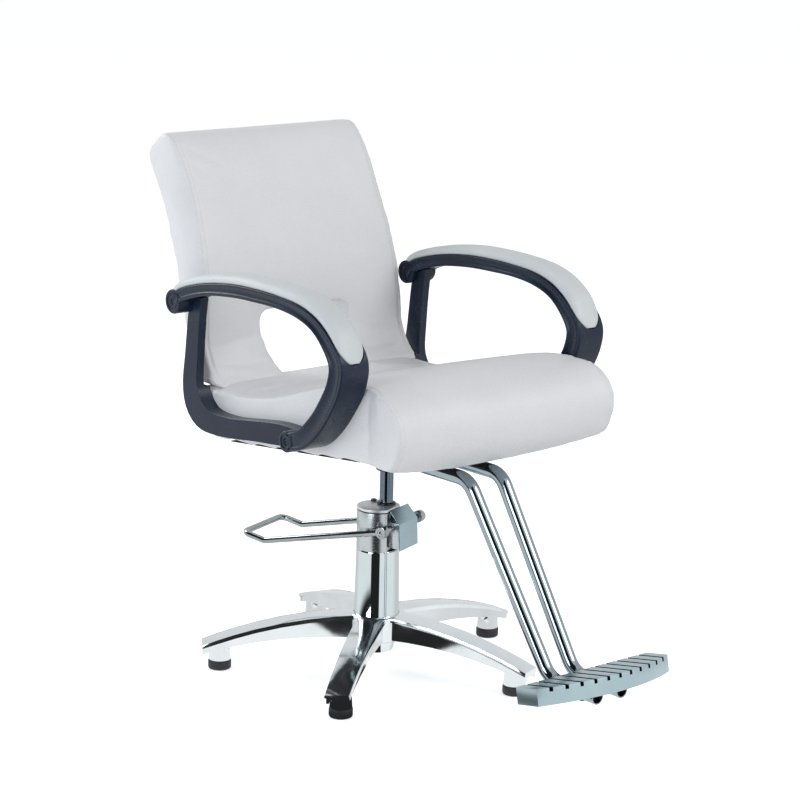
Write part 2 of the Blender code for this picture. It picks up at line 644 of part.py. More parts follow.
def underframe(turret):
    """Ram, socket, mounting plate and bolts."""
    plate_top = -GAP
    socket_top = raked(SOCKET_RADIUS, plate_top - PLATE - GAP)
    lathe("ram", [(0, RAM_BOTTOM), (RAM_RADIUS, RAM_BOTTOM), (RAM_RADIUS, socket_top - 0.004),
                  (RAM_RADIUS - 0.002, socket_top - 0.001), (0, socket_top - 0.001)],
          turret, CHROME, steps=32)
    lathe("seat_socket", [(SOCKET_RADIUS - 0.002, SOCKET_BOTTOM),
                          (SOCKET_RADIUS, SOCKET_BOTTOM + 0.002), (SOCKET_RADIUS, socket_top),
                          (RAM_RADIUS + GAP, socket_top), (RAM_RADIUS + GAP, SOCKET_BOTTOM)],
          turret, BLACK_STEEL)
    raked_frame = frame("raked_underframe", turret, at=(0, 0, DATUM_Z), turn=(RAKE, 0, 0))
    half = PLATE_SIDE / 2
    plate = box("seat_plate", (-half, -half, plate_top - PLATE), (half, half, plate_top),
                raked_frame, BLACK_STEEL)
    cover_edge = BOARD_HALF_WIDTH - 0.002
    cover = box("dust_cover", (-cover_edge, BOARD_FRONT + 0.002, 0),
                (cover_edge, BOARD_REAR - 0.002, DUST_COVER), raked_frame, CLOTH)
    board_low = DUST_COVER + GAP + RAIL_SHEET + GAP
    board = box("seat_board", (-BOARD_HALF_WIDTH, BOARD_FRONT, board_low),
                (BOARD_HALF_WIDTH, BOARD_REAR, board_low + BOARD), raked_frame, WOOD)
    inset = half - PLATE_BOLT_INSET
    for number, (x, y) in enumerate(((-1, -1), (1, -1), (1, 1), (-1, 1))):
        place_at = (x * inset, y * inset)
        head_high = plate_top - PLATE - GAP
        bolt = [(0, head_high - 0.004), (0.0065, head_high - 0.004), (0.0065, head_high),
                (0.004, head_high), (0.004, board_low + BOARD * 0.7),
                (0, board_low + BOARD * 0.7)]
        lathe(f"plate_bolt_{number + 1}", bolt, raked_frame, STEEL, at=place_at, steps=8)
        hole = lathe(f"plate_bolt_hole_{number + 1}",
                     disc(0.004 + GAP, head_high - CUT, board_low + BOARD * 0.7 + GAP),
                     raked_frame, None, at=place_at, steps=8)
        for piece in (plate, cover, board):
            carve(piece, hole)
    return raked_frame, board, board_low


def back_rail_line():
    """Side view line of the steel rail that joins the seat and the back."""
    level = DUST_COVER + GAP + RAIL_SHEET / 2
    run = [(BOARD_REAR - 0.115, raked(BOARD_REAR - 0.115, level)),
           (BOARD_REAR + RAIL_CORNER, raked(BOARD_REAR + RAIL_CORNER, level))]
    rise = [(0.231, SEAT_REAR_TOP), (0.298, 0.715)]
    return [p.to_2d() for p in fillet([(y, z, 0) for y, z in run + rise], RAIL_CORNER, steps=3)]


def back_rails(turret, seat, back):
    """Two flat steel bars, from under the seat board up into the sides of the back."""
    line = back_rail_line()
    grown = list(line)
    grown[0] = line[0] + (line[0] - line[1]).normalized() * GAP
    grown[-1] = line[-1] + (line[-1] - line[-2]).normalized() * GAP
    for side, name in ((-1, "back_rail_left"), (1, "back_rail_right")):
        inner, outer = sorted((side * (RAIL_X - RAIL_WIDTH / 2), side * (RAIL_X + RAIL_WIDTH / 2)))
        half = RAIL_SHEET / 2
        prism(name, band(line, lambda k: -half, lambda k: half), "X", inner, outer, turret,
              BLACK_STEEL)
        slot = prism(name + "_slot", band(grown, lambda k: -half - GAP, lambda k: half + GAP),
                     "X", inner - GAP, outer + GAP, turret, None)
        carve(seat, slot)
        carve(back, slot)


# ---------------------------------------------------------------- upholstery
def seat_outline():
    """Side view of the seat: level rear, a dished top and the rolled front."""
    rear_low = raked(BOARD_REAR + 0.040) + 0.004
    belly_end = BOARD_FRONT - BELLY_GAP
    top = spline([(0.120, SEAT_REAR_TOP + 0.001), (0.036, 0.524), (-0.050, 0.552),
                  (-0.130, 0.576), (-0.205, 0.588), (-0.262, 0.583), (-0.305, 0.562),
                  (-0.325, 0.528), (-0.319, 0.490), (-0.297, 0.453), (-0.255, BELLY_BOTTOM)],
                 spans=3)
    return [(0.246, SEAT_REAR_TOP - 0.006), (0.238, SEAT_REAR_TOP), *[tuple(p) for p in top],
            (belly_end - 0.012, BELLY_BOTTOM + 0.003), (belly_end, raked(belly_end)),
            (0, raked(0)), (0.120, raked(0.120)), (BOARD_REAR + 0.040, rear_low),
            (0.236, 0.452)]


def waist(cushion, turret):
    """Narrow the seat between the arms; it swells ahead of them."""
    clear = ARM_LINE_FRONT - 0.004
    reach = SEAT_HALF_WIDTH + 0.03
    for side in (-1, 1):
        plan = [(side * SEAT_WAIST, 0.30), (side * SEAT_WAIST, clear),
                (side * SEAT_HALF_WIDTH, clear - 0.030), (side * reach, clear - 0.030),
                (side * reach, 0.30)]
        carve(cushion, prism(f"waist_{side}", plan, "Z", 0.35, 0.70, turret, None))


def belly(cushion, turret):
    """Under the front roll the cushion hangs in the middle and lifts towards its sides."""
    side_low = raked(BOARD_FRONT) + 0.005
    for side in (-1, 1):
        shape = [(side * SEAT_HALF_WIDTH * share, BELLY_BOTTOM + (side_low - BELLY_BOTTOM) * rise)
                 for share, rise in ((0.2, -0.04), (0.6, 0.35), (1.02, 1.0))]
        shape += [(side * SEAT_HALF_WIDTH * 1.02, BELLY_BOTTOM - 0.02),
                  (side * SEAT_HALF_WIDTH * 0.2, BELLY_BOTTOM - 0.02)]
        carve(cushion, prism(f"belly_{side}", shape, "Y", -0.36, BOARD_FRONT - BELLY_GAP / 2,
                             turret, None))


def seat_cushion(turret, raked_frame, board_low):
    """Seat, hollowed underneath for the board, its side rails and the dust cover."""
    cushion = prism("seat_cushion", seat_outline(), "X", -SEAT_HALF_WIDTH, SEAT_HALF_WIDTH,
                    turret, VINYL)
    waist(cushion, turret)
    belly(cushion, turret)
    soften(cushion, EDGE_ROUND * 0.6)
    carve(cushion, box("board_pocket", (-BOARD_HALF_WIDTH - GAP, BOARD_FRONT - GAP, -0.02),
                       (BOARD_HALF_WIDTH + GAP, BOARD_REAR + GAP, board_low + BOARD + GAP),
                       raked_frame, None))
    rail_low = board_low + BOARD + GAP
    rail_high = rail_low + SIDE_RAIL_HEIGHT
    rails = []
    for side, name in ((-1, "side_rail_left"), (1, "side_rail_right")):
        inner, outer = sorted((side * (BOARD_HALF_WIDTH - SIDE_RAIL_WIDTH),
                               side * BOARD_HALF_WIDTH))
        rails.append(box(name, (inner, SIDE_RAIL_FRONT, rail_low),
                         (outer, BOARD_REAR, rail_high), raked_frame, WOOD))
        carve(cushion, box(name + "_pocket", (inner - GAP, SIDE_RAIL_FRONT - GAP,
                                              rail_low - 2 * GAP),
                           (outer + GAP, BOARD_REAR + GAP, rail_high + GAP), raked_frame, None))
    return cushion, rails


def back_taper(cushion, turret):
    """Narrow the back towards its top."""
    low, high, reach = BACK_HALF_WIDTH_LOW, BACK_HALF_WIDTH_TOP, BACK_HALF_WIDTH_LOW + 0.05
    for side in (-1, 1):
        shape = [(side * low, 0.620), (side * high, 0.830), (side * high, 1.0),
                 (side * reach, 1.0), (side * reach, 0.620)]
        carve(cushion, prism(f"back_taper_{side}", shape, "Y", 0.10, 0.60, turret, None))


def back_cushion(turret):
    """Back: a leaning slab on two feet, with the open window between them."""
    foot = SEAT_REAR_TOP + 2 * GAP
    front = spline([(0.186, foot), (0.218, 0.538), (0.239, 0.580), (0.2430, 0.630),
                    (0.247, 0.680), (0.263, 0.748), (0.300, 0.838), (0.335, 0.900),
                    (0.362, 0.934)], spans=3)
    rear = spline([(0.433, 0.916), (0.438, 0.893), (0.400, 0.827), (0.356, 0.745),
                   (0.322, 0.665), (0.288, 0.585), (0.252, foot)], spans=3)
    outline = [*[tuple(p) for p in front], (0.380, 0.944), (0.402, 0.943),
               *[tuple(p) for p in rear]]
    cushion = prism("back_cushion", outline, "X", -BACK_HALF_WIDTH_LOW, BACK_HALF_WIDTH_LOW,
                    turret, VINYL)
    back_taper(cushion, turret)
    soften(cushion, EDGE_ROUND)
    w = WINDOW_HALF_WIDTH
    shape = [(w - 0.026, foot - CUT), (w - 0.012, 0.550), (w, 0.603), (w, WINDOW_TOP - 0.012),
             (w - 0.012, WINDOW_TOP)]
    shape += [(-x, z) for x, z in shape[::-1]]
    carve(cushion, prism("back_window", shape, "Y", 0.10, 0.40, turret, None))
    return cushion


# ---------------------------------------------------------------- arms
def arm_prism(name, line, grow, low, high, parent, finish):
    """Band of varying width along an arm's side view line."""
    curve = spline(line, spans=3)
    points = [p.to_2d() for p in curve]
    outline = band(points, lambda k: -curve[k].z - grow, lambda k: curve[k].z + grow)
    return prism(name, outline, "X", low, high, parent, finish)


def arm(side, turret, cushion, rail):
    """Front piece with rolled ends, rear post, pad and the two bolts of one arm."""
    hand = "left" if side < 0 else "right"
    low, high = sorted((side * ARM_INSIDE, side * (ARM_INSIDE + ARM_WIDTH)))
    post_low, post_high = sorted((side * ARM_INSIDE, side * (ARM_INSIDE + POST_WIDTH)))
    pad_low, pad_high = low + PAD_INSET, high - PAD_INSET
    front = arm_prism(f"arm_front_{hand}", ARM_LINE, 0, low, high, turret, ARM_FINISH)
    post = arm_prism(f"arm_post_{hand}", POST_LINE, 0, post_low, post_high, turret, ARM_FINISH)
    relief_low, relief_high = sorted((side * (ARM_INSIDE - CUT),
                                      side * (ARM_INSIDE + UPRIGHT_RELIEF)))
    carve(post, box(f"upright_relief_{hand}", (relief_low, 0.10, UPRIGHT_FOOT),
                    (relief_high, 0.40, 0.75), turret, None))
    curve = spline(ARM_LINE, spans=3)
    first, last = 3, 28
    line = [p.to_2d() for p in curve[first:last]]

    def pad_top(k):
        share = k / (last - first - 1)
        return -curve[first + k].z - GAP - 0.016 * (1 - 0.65 * max(share - 0.85, 0) / 0.15)

    pad = prism(f"arm_pad_{hand}", band(line, pad_top, lambda k: -curve[first + k].z - GAP),
                "X", pad_low, pad_high, turret, VINYL)
    clearance = arm_prism(f"arm_clearance_{hand}", ARM_LINE, GAP, low - CUT, high + CUT, turret,
                          None)
    carve(post, clearance)
    for number, (y, z, radius) in enumerate(SCROLLS):
        turns = [math.tau * k / 24 for k in range(24)]
        roll = [(y + radius * math.cos(t), z + radius * math.sin(t)) for t in turns]
        carve(front, prism(f"roll_form_{hand}_{number}", roll, "X", low, high, turret, None),
              'UNION')
        grown = [(y + (radius + GAP) * math.cos(t), z + (radius + GAP) * math.sin(t))
                 for t in turns]
        hollow = prism(f"roll_clearance_{hand}_{number}", grown, "X", low - CUT, high + CUT,
                       turret, None)
        carve(post, hollow)
        if number == 0:
            carve(pad, hollow)
    inner = side * (BOARD_HALF_WIDTH - ARM_BOLT_IN_RAIL)
    outer = side * (ARM_INSIDE + ARM_BOLT_IN_ARM)
    for number, (y, z) in enumerate(ARM_BOLTS):
        bolt_path = [Vector((inner, y, z)), Vector((outer, y, z))]
        sweep(f"arm_bolt_{hand}_{number + 1}", bolt_path, ARM_BOLT_RADIUS, turret, STEEL)
        hole_path = [Vector((inner - side * GAP, y, z)), Vector((outer + side * GAP, y, z))]
        hole = sweep(f"arm_bolt_hole_{hand}_{number + 1}", hole_path, ARM_BOLT_RADIUS + GAP,
                     turret, None)
        for piece in (post, cushion, rail):
            carve(piece, hole)


# ---------------------------------------------------------------- footrest
def tube_path(side):
    """Route of one footrest tube, from under the seat to the front of the footplate."""
    top, low = side * TUBE_HALF_SPACING, side * TUBE_HALF_SPACING_LOW
    return fillet([(top, TUBE_REAR, TUBE_Z), (top, TUBE_KNEE_Y, TUBE_Z),
                   (low, TUBE_FOOT[0], TUBE_FOOT[1]), (low, TUBE_FRONT, TUBE_FOOT[1])],
                  TUBE_BEND, steps=6)


def bracket(name, y, turret, raked_frame):
    """Clamp block between the two tubes and the mounting plate."""
    half = TUBE_HALF_SPACING + TUBE_RADIUS + BRACKET_WALL
    low = TUBE_Z - TUBE_RADIUS - 0.004
    high = DATUM_Z + 0.05
    block = box(name, (-half, y, low), (half, y + BRACKET_LENGTH, high), turret, BLACK_STEEL)
    roof = box(name + "_roof", (-half - CUT, y - 0.02, -2 * GAP - PLATE),
               (half + CUT, y + BRACKET_LENGTH + 0.02, 0.1), raked_frame, None)
    carve(block, roof)
    for side in (-1, 1):
        x = side * TUBE_HALF_SPACING
        carve(block, sweep(f"{name}_bore_{side}", [Vector((x, y - CUT, TUBE_Z)),
                                                   Vector((x, y + BRACKET_LENGTH + CUT, TUBE_Z))],
                           TUBE_RADIUS + GAP, turret, None, sides=16))


def footplate(turret):
    """Ribbed foot board: grooves open at the front edge, channels below for the tubes."""
    tilt = frame("footplate_tilt", turret, at=(0, FOOTPLATE_REAR, FOOTPLATE_TOP),
                 turn=(-FOOTPLATE_TILT, 0, 0))
    half = FOOTPLATE_HALF_WIDTH
    edge = [(half * (1 - k / 8), k / 8) for k in range(17)]
    front = [(x, -FOOTPLATE_DEPTH - FOOTPLATE_BULGE * (1 - (1 - share) ** 2))
             for x, share in edge]
    plate = prism("footplate", [(-half, 0), (half, 0), *front], "Z", -FOOTPLATE_HEIGHT, 0, tilt,
                  SATIN)
    reach = FOOTPLATE_DEPTH + FOOTPLATE_BULGE + CUT
    for k in range(GROOVES):
        middle = (k - (GROOVES - 1) / 2) * GROOVE_PITCH
        carve(plate, box(f"groove_{k}", (middle - GROOVE_WIDTH / 2, -reach, -GROOVE_DEPTH),
                         (middle + GROOVE_WIDTH / 2, CUT, CUT), tilt, None))
    for side in (-1, 1):
        near = TUBE_HALF_SPACING_LOW + TUBE_RADIUS + FOOTPLATE_WALL
        far = FOOTPLATE_HALF_WIDTH - FOOTPLATE_WALL
        inner, outer = sorted((side * near, side * far))
        deck = GROOVE_DEPTH + 0.004
        carve(plate, box(f"deck_hollow_{side}",
                         (inner, -FOOTPLATE_DEPTH + FOOTPLATE_WALL, -FOOTPLATE_HEIGHT - CUT),
                         (outer, -FOOTPLATE_WALL, -deck), tilt, None))
        x = side * TUBE_HALF_SPACING_LOW
        level = TUBE_FOOT[1]
        carve(plate, sweep(f"tube_channel_{side}",
                           [Vector((x, FOOTPLATE_REAR + 0.05, level)),
                            Vector((x, TUBE_FRONT - 0.05, level))],
                           TUBE_RADIUS + GAP, turret, None, sides=16))
    return plate


def footrest(turret, raked_frame):
    """Two bent tubes, their clamp blocks, the footplate and its screws."""
    plate = footplate(turret)
    tubes = [sweep(name, tube_path(side), TUBE_RADIUS, turret, CHROME, sides=16, bore=TUBE_BORE)
             for side, name in ((-1, "footrest_tube_left"), (1, "footrest_tube_right"))]
    bracket("footrest_clamp_front", -0.095, turret, raked_frame)
    bracket("footrest_clamp_rear", 0.026, turret, raked_frame)
    for side, tube, name in ((-1, tubes[0], "footplate_screw_left"),
                             (1, tubes[1], "footplate_screw_right")):
        at = (side * TUBE_HALF_SPACING_LOW, FOOTPLATE_REAR - 0.030)
        head = TUBE_FOOT[1] - TUBE_RADIUS - GAP
        tip = TUBE_FOOT[1] + TUBE_RADIUS + 0.004
        screw = [(0, head - 0.002), (SCREW_RADIUS * 1.8, head - 0.002),
                 (SCREW_RADIUS * 1.8, head), (SCREW_RADIUS, head), (SCREW_RADIUS, tip), (0, tip)]
        lathe(name, screw, turret, STEEL, at=at, steps=12)
        hole = lathe(name + "_hole", disc(SCREW_RADIUS + GAP, head - CUT, tip + GAP), turret,
                     None, at=at, steps=12)
        carve(plate, hole)
        carve(tube, hole)


# ---------------------------------------------------------------- the chair
def centre_on_floor(root):
    """Move the chair so that the origin is under the middle of its box."""
    bpy.context.view_layer.update()
    depsgraph = bpy.context.evaluated_depsgraph_get()
    corners = []
    for piece in bpy.data.objects:
        if piece.type == 'MESH' and not piece.hide_render:
            shown = piece.evaluated_get(depsgraph)
            mesh = shown.to_mesh()
            corners += [shown.matrix_world @ v.co for v in mesh.vertices]
            shown.to_mesh_clear()
    for axis in (0, 1):
        values = [c[axis] for c in corners]
        root.location[axis] = -(min(values) + max(values)) / 2
    root.location[2] = -min(c.z for c in corners)


def chair():
    """Put the whole chair together."""
    root = frame("chair")
    base = frame("star_frame", root, at=(STAR_OFFSET, 0, 0))
    ram_base = frame("ram_frame", root)
    pump = frame("pump_frame", root, turn=(0, 0, PUMP_YAW))
    lift = frame("lift_axis", root)
    turret = frame("swivel_axis", lift)
    star(base)
    for number in range(LEG_COUNT):
        glide(number, base)
    column(base)
    cylinder(ram_base)
    pump_head(base, pump, ram_base)
    pump_block(pump)
    pump_cover(pump)
    plunger(pump)
    pedal(pump)
    piston(lift)
    raked_frame, _, board_low = underframe(turret)
    seat, rails = seat_cushion(turret, raked_frame, board_low)
    back = back_cushion(turret)
    back_rails(turret, seat, back)
    for side, rail in zip((-1, 1), rails):
        arm(side, turret, seat, rail)
    footrest(turret, raked_frame)
    centre_on_floor(root)


chair()
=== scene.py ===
# Hydraulic styling chair, built up in the order the chair is put together: floor and light,
# star base, column, pump, ram, underframe, footrest, upholstery, arms.
import math

import bmesh
import bpy
from mathutils import Matrix, Vector, noise
from mathutils.bvhtree import BVHTree
from mathutils.kdtree import KDTree


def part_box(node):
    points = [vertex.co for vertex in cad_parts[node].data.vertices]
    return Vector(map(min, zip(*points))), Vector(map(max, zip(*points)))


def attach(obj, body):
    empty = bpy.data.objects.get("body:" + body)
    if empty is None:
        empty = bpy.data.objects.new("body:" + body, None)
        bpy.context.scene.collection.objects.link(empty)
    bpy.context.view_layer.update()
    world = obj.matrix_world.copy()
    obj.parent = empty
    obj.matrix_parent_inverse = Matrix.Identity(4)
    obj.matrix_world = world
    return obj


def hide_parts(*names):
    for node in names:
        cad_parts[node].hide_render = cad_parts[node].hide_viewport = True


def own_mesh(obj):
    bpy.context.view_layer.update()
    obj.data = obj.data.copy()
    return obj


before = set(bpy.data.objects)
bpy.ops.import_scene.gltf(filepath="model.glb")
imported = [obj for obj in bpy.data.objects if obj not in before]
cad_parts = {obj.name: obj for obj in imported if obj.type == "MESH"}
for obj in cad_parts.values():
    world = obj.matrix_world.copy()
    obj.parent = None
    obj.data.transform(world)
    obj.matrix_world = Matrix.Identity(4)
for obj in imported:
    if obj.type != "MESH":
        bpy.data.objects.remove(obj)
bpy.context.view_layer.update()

scene = bpy.context.scene


# ==== studio: floor, light and camera =====================================================
# A pale seamless floor under one wide key light, a fill and a back light. Shiny metal sees
# a white room with a dark gap in front and a dark screen high on the left, which draw the
# black streaks down round chrome.
ram_low, ram_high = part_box("ram")
swivel = Vector(((ram_low.x + ram_high.x) / 2, (ram_low.y + ram_high.y) / 2, 0))
CAMERA_FROM_SWIVEL = Vector((-2.9578, -3.5116, 1.5422))
CAMERA_YAW, CAMERA_PITCH, CAMERA_ROLL = 0.695264, 0.231922, 0.0194598
CAMERA_LENS = 118.67
CAMERA_SHIFT = (0.03024, 0.02444)


def link(name, data):
    """New object in the scene."""
    thing = bpy.data.objects.new(name, data)
    scene.collection.objects.link(thing)
    return thing


def aim(yaw, pitch, roll):
    """Rotation of a camera turned right from +Y by yaw, tipped down by pitch and rolled."""
    ahead = Vector((math.sin(yaw) * math.cos(pitch), math.cos(yaw) * math.cos(pitch),
                    -math.sin(pitch)))
    right = Vector((math.cos(yaw), -math.sin(yaw), 0))
    up = right.cross(ahead)
    return Matrix((right * math.cos(roll) + up * math.sin(roll),
                   up * math.cos(roll) - right * math.sin(roll), -ahead)).transposed()


camera = link("camera", bpy.data.cameras.new("camera"))
camera.data.lens = CAMERA_LENS
camera.data.shift_x, camera.data.shift_y = CAMERA_SHIFT
camera.matrix_world = (Matrix.Translation(swivel + CAMERA_FROM_SWIVEL)
                       @ aim(CAMERA_YAW, CAMERA_PITCH, CAMERA_ROLL).to_4x4())
scene.camera = camera
scene.view_settings.view_transform = "Standard"


def softbox(name, at, target, size, watts, colour):
    """Square area light that faces a point."""
    data = bpy.data.lights.new(name, "AREA")
    data.shape, data.size, data.energy, data.color = "SQUARE", size, watts, colour
    lamp = link(name, data)
    lamp.location = at
    lamp.rotation_euler = (Vector(target) - Vector(at)).to_track_quat("-Z", "Y").to_euler()


CHAIR_MIDDLE = (0, 0, 0.55)
softbox("key_light", (1.6, -3.4, 3.4), CHAIR_MIDDLE, 2.2, 74, (1.0, 0.99, 0.98))
softbox("fill_light", (-4.0, -0.6, 1.6), CHAIR_MIDDLE, 1.6, 46, (0.86, 0.92, 1.0))
softbox("back_light", (-1.2, 3.6, 2.6), CHAIR_MIDDLE, 1.8, 60, (1.0, 1.0, 1.0))


def calc(tree, operation, *values):
    """Math node with numbers or sockets as its inputs."""
    node = tree.nodes.new("ShaderNodeMath")
    node.operation = operation
    for place, value in zip(node.inputs, values):
        if isinstance(value, bpy.types.NodeSocket):
            tree.links.new(value, place)
        else:
            place.default_value = value
    return node.outputs[0]


def ramp(tree, value, low, high, to_low=0.0, to_high=1.0):
    """Smooth step of a value between two limits."""
    node = tree.nodes.new("ShaderNodeMapRange")
    node.interpolation_type = "SMOOTHSTEP"
    tree.links.new(value, node.inputs["Value"])
    for name, number in (("From Min", low), ("From Max", high), ("To Min", to_low),
                         ("To Max", to_high)):
        node.inputs[name].default_value = number
    return node.outputs["Result"]


def effect(name, inputs, outputs):
    """Empty shader node group with named sockets; returns its tree, input and output nodes."""
    tree = bpy.data.node_groups.new(name, "ShaderNodeTree")
    for label, kind, value in inputs:
        entry = tree.interface.new_socket(label, in_out="INPUT", socket_type=kind)
        if value is not None:
            entry.default_value = value
    for label in outputs:
        tree.interface.new_socket(label, in_out="OUTPUT", socket_type="NodeSocketFloat")
    return tree, tree.nodes.new("NodeGroupInput"), tree.nodes.new("NodeGroupOutput")


def build_room_tone():
    """Brightness that shiny metal sees each way round: white, a dark gap, a grey far side."""
    tree, given, result = effect("room_tone", (("Way", "NodeSocketVector", None),), ("Level",))
    split = tree.nodes.new("ShaderNodeSeparateXYZ")
    tree.links.new(given.outputs["Way"], split.inputs[0])
    x, y, z = split.outputs
    reach = calc(tree, "MAXIMUM", calc(tree, "SQRT", calc(tree, "ADD",
                 calc(tree, "MULTIPLY", x, x), calc(tree, "MULTIPLY", y, y))), 0.001)
    facing = calc(tree, "DIVIDE", calc(tree, "ADD", calc(tree, "MULTIPLY", x, DARK_GAP[0]),
                  calc(tree, "MULTIPLY", y, DARK_GAP[1])), reach)
    gap = calc(tree, "MULTIPLY", ramp(tree, facing, *GAP_EDGE), ramp(tree, z, 1.2, 0.5))
    beside = calc(tree, "DIVIDE", calc(tree, "ADD", calc(tree, "MULTIPLY", x, CANOPY[0]),
                  calc(tree, "MULTIPLY", y, CANOPY[1])), reach)
    canopy = calc(tree, "MULTIPLY", ramp(tree, beside, *CANOPY_EDGE), ramp(tree, z, 0.02, 0.12))
    gap = calc(tree, "MAXIMUM", gap, canopy)
    white = calc(tree, "MULTIPLY_ADD", ramp(tree, facing, *FAR_EDGE), FAR_GREY - 1.0, 1.0)
    tree.links.new(calc(tree, "MULTIPLY", white, calc(tree, "MULTIPLY_ADD", gap, -0.98, 1.0)),
                   result.inputs["Level"])
    return tree


DARK_GAP = (-0.767, -0.642)
GAP_EDGE = (0.915, 0.94)
CANOPY = (-0.998, -0.052)       # a dark screen high on the left
CANOPY_EDGE = (0.55, 0.62)
FAR_EDGE = (-0.05, -0.6)
FAR_GREY = 0.76
AIR_LIGHT = 0.50
room_tone = build_room_tone()


def room():
    """White to the eye, even light for the cloth, and the toned room for the chrome."""
    world = bpy.data.worlds.new("room")
    world.use_nodes = True
    tree = world.node_tree
    sky = tree.nodes["Background"]
    tone = tree.nodes.new("ShaderNodeGroup")
    tone.node_tree = room_tone
    tree.links.new(tree.nodes.new("ShaderNodeTexCoord").outputs["Generated"], tone.inputs["Way"])
    rays = tree.nodes.new("ShaderNodeLightPath")
    glossy = rays.outputs["Is Glossy Ray"]
    level = calc(tree, "MULTIPLY_ADD", calc(tree, "SUBTRACT", 1.0, glossy), AIR_LIGHT,
                 calc(tree, "MULTIPLY", glossy, tone.outputs["Level"]))
    tree.links.new(calc(tree, "MAXIMUM", level, rays.outputs["Is Camera Ray"]),
                   sky.inputs["Strength"])
    sky.inputs["Color"].default_value = (0.97, 0.985, 1.0, 1.0)
    scene.world = world


room()


class Finish:
    """Node material with one Principled shader; parts of it are added socket by socket."""

    def __init__(self, name, colour, roughness, metallic=0.0):
        self.material = bpy.data.materials.new(name)
        self.material.use_nodes = True
        self.tree = self.material.node_tree
        self.shader = self.tree.nodes["Principled BSDF"]
        self.shader.inputs["Roughness"].default_value = roughness
        self.shader.inputs["Metallic"].default_value = metallic
        self.set_colour(colour)
        self.place = self.tree.nodes.new("ShaderNodeTexCoord").outputs["Object"]

    def set_colour(self, colour):
        self.shader.inputs["Base Color"].default_value = (*colour, 1.0)

    def stretched(self, scale):
        """Object coordinates scaled along each axis, for grain that runs one way."""
        node = self.tree.nodes.new("ShaderNodeMapping")
        node.inputs["Scale"].default_value = scale
        self.tree.links.new(self.place, node.inputs["Vector"])
        return node.outputs[0]

    def group(self, tree, **inputs):
        """Place a shared effect and set its named inputs."""
        node = self.tree.nodes.new("ShaderNodeGroup")
        node.node_tree = tree
        for name, value in inputs.items():
            target = node.inputs[name.replace("_", " ")]
            if isinstance(value, bpy.types.NodeSocket):
                self.tree.links.new(value, target)
            else:
                target.default_value = value
        return node.outputs

    def tint(self, mask, dark, light):
        """Base colour between two tones, by a mask."""
        node = self.tree.nodes.new("ShaderNodeMix")
        node.data_type = "RGBA"
        self.tree.links.new(mask, node.inputs["Factor"])
        node.inputs["A"].default_value = (*dark, 1.0)
        node.inputs["B"].default_value = (*light, 1.0)
        self.tree.links.new(node.outputs["Result"], self.shader.inputs["Base Color"])
        return self

    def rough(self, mask, low, high):
        self.tree.links.new(ramp(self.tree, mask, 0.0, 1.0, low, high),
                            self.shader.inputs["Roughness"])
        return self

    def relief(self, height, distance, strength=1.0):
        node = self.tree.nodes.new("ShaderNodeBump")
        node.inputs["Distance"].default_value = distance
        node.inputs["Strength"].default_value = strength
        self.tree.links.new(height, node.inputs["Height"])
        self.tree.links.new(node.outputs[0], self.shader.inputs["Normal"])
        return self


floor_mesh = bpy.data.meshes.new("studio_floor")
FLOOR_REACH = 60
floor_mesh.from_pydata([(x * FLOOR_REACH, y * FLOOR_REACH, 0)
                        for x, y in ((-1, -1), (1, -1), (1, 1), (-1, 1))], [], [(0, 1, 2, 3)])
studio_floor = link("studio_floor", floor_mesh)
floor_finish = Finish("floor_paper", (0.93, 0.935, 0.94), 0.9)


def light_floor(finish):
    """The paper glows a little to the eye, and shiny metal sees the toned room in it."""
    tree, shader = finish.tree, finish.shader
    rays = tree.nodes.new("ShaderNodeLightPath")
    shader.inputs["Emission Color"].default_value = (0.98, 0.99, 1.0, 1.0)
    tree.links.new(calc(tree, "MULTIPLY_ADD", rays.outputs["Is Camera Ray"], 0.50, 0.04),
                   shader.inputs["Emission Strength"])
    shift = tree.nodes.new("ShaderNodeMapping")
    shift.inputs["Location"].default_value = -swivel
    tree.links.new(finish.place, shift.inputs["Vector"])
    tone = finish.group(room_tone, Way=shift.outputs[0])
    mirror = tree.nodes.new("ShaderNodeEmission")
    tree.links.new(tone["Level"], mirror.inputs["Strength"])
    either = tree.nodes.new("ShaderNodeMixShader")
    tree.links.new(rays.outputs["Is Glossy Ray"], either.inputs[0])
    tree.links.new(shader.outputs[0], either.inputs[1])
    tree.links.new(mirror.outputs[0], either.inputs[2])
    tree.links.new(either.outputs[0], tree.nodes["Material Output"].inputs["Surface"])


light_floor(floor_finish)
floor_mesh.materials.append(floor_finish.material)


# ==== star base ===========================================================================
# Five-legged star, die-cast aluminium, ground and polished on its top faces. It is one
# casting with a boss under each leg tip for the screwed glide.
def noise_node(tree, place, scale, detail=3.0, roughness=0.55, distortion=0.0):
    node = tree.nodes.new("ShaderNodeTexNoise")
    node.inputs["Detail"].default_value = detail
    node.inputs["Roughness"].default_value = roughness
    node.inputs["Distortion"].default_value = distortion
    tree.links.new(place, node.inputs["Vector"])
    if isinstance(scale, bpy.types.NodeSocket):
        tree.links.new(scale, node.inputs["Scale"])
    else:
        node.inputs["Scale"].default_value = scale
    return node.outputs["Fac"]


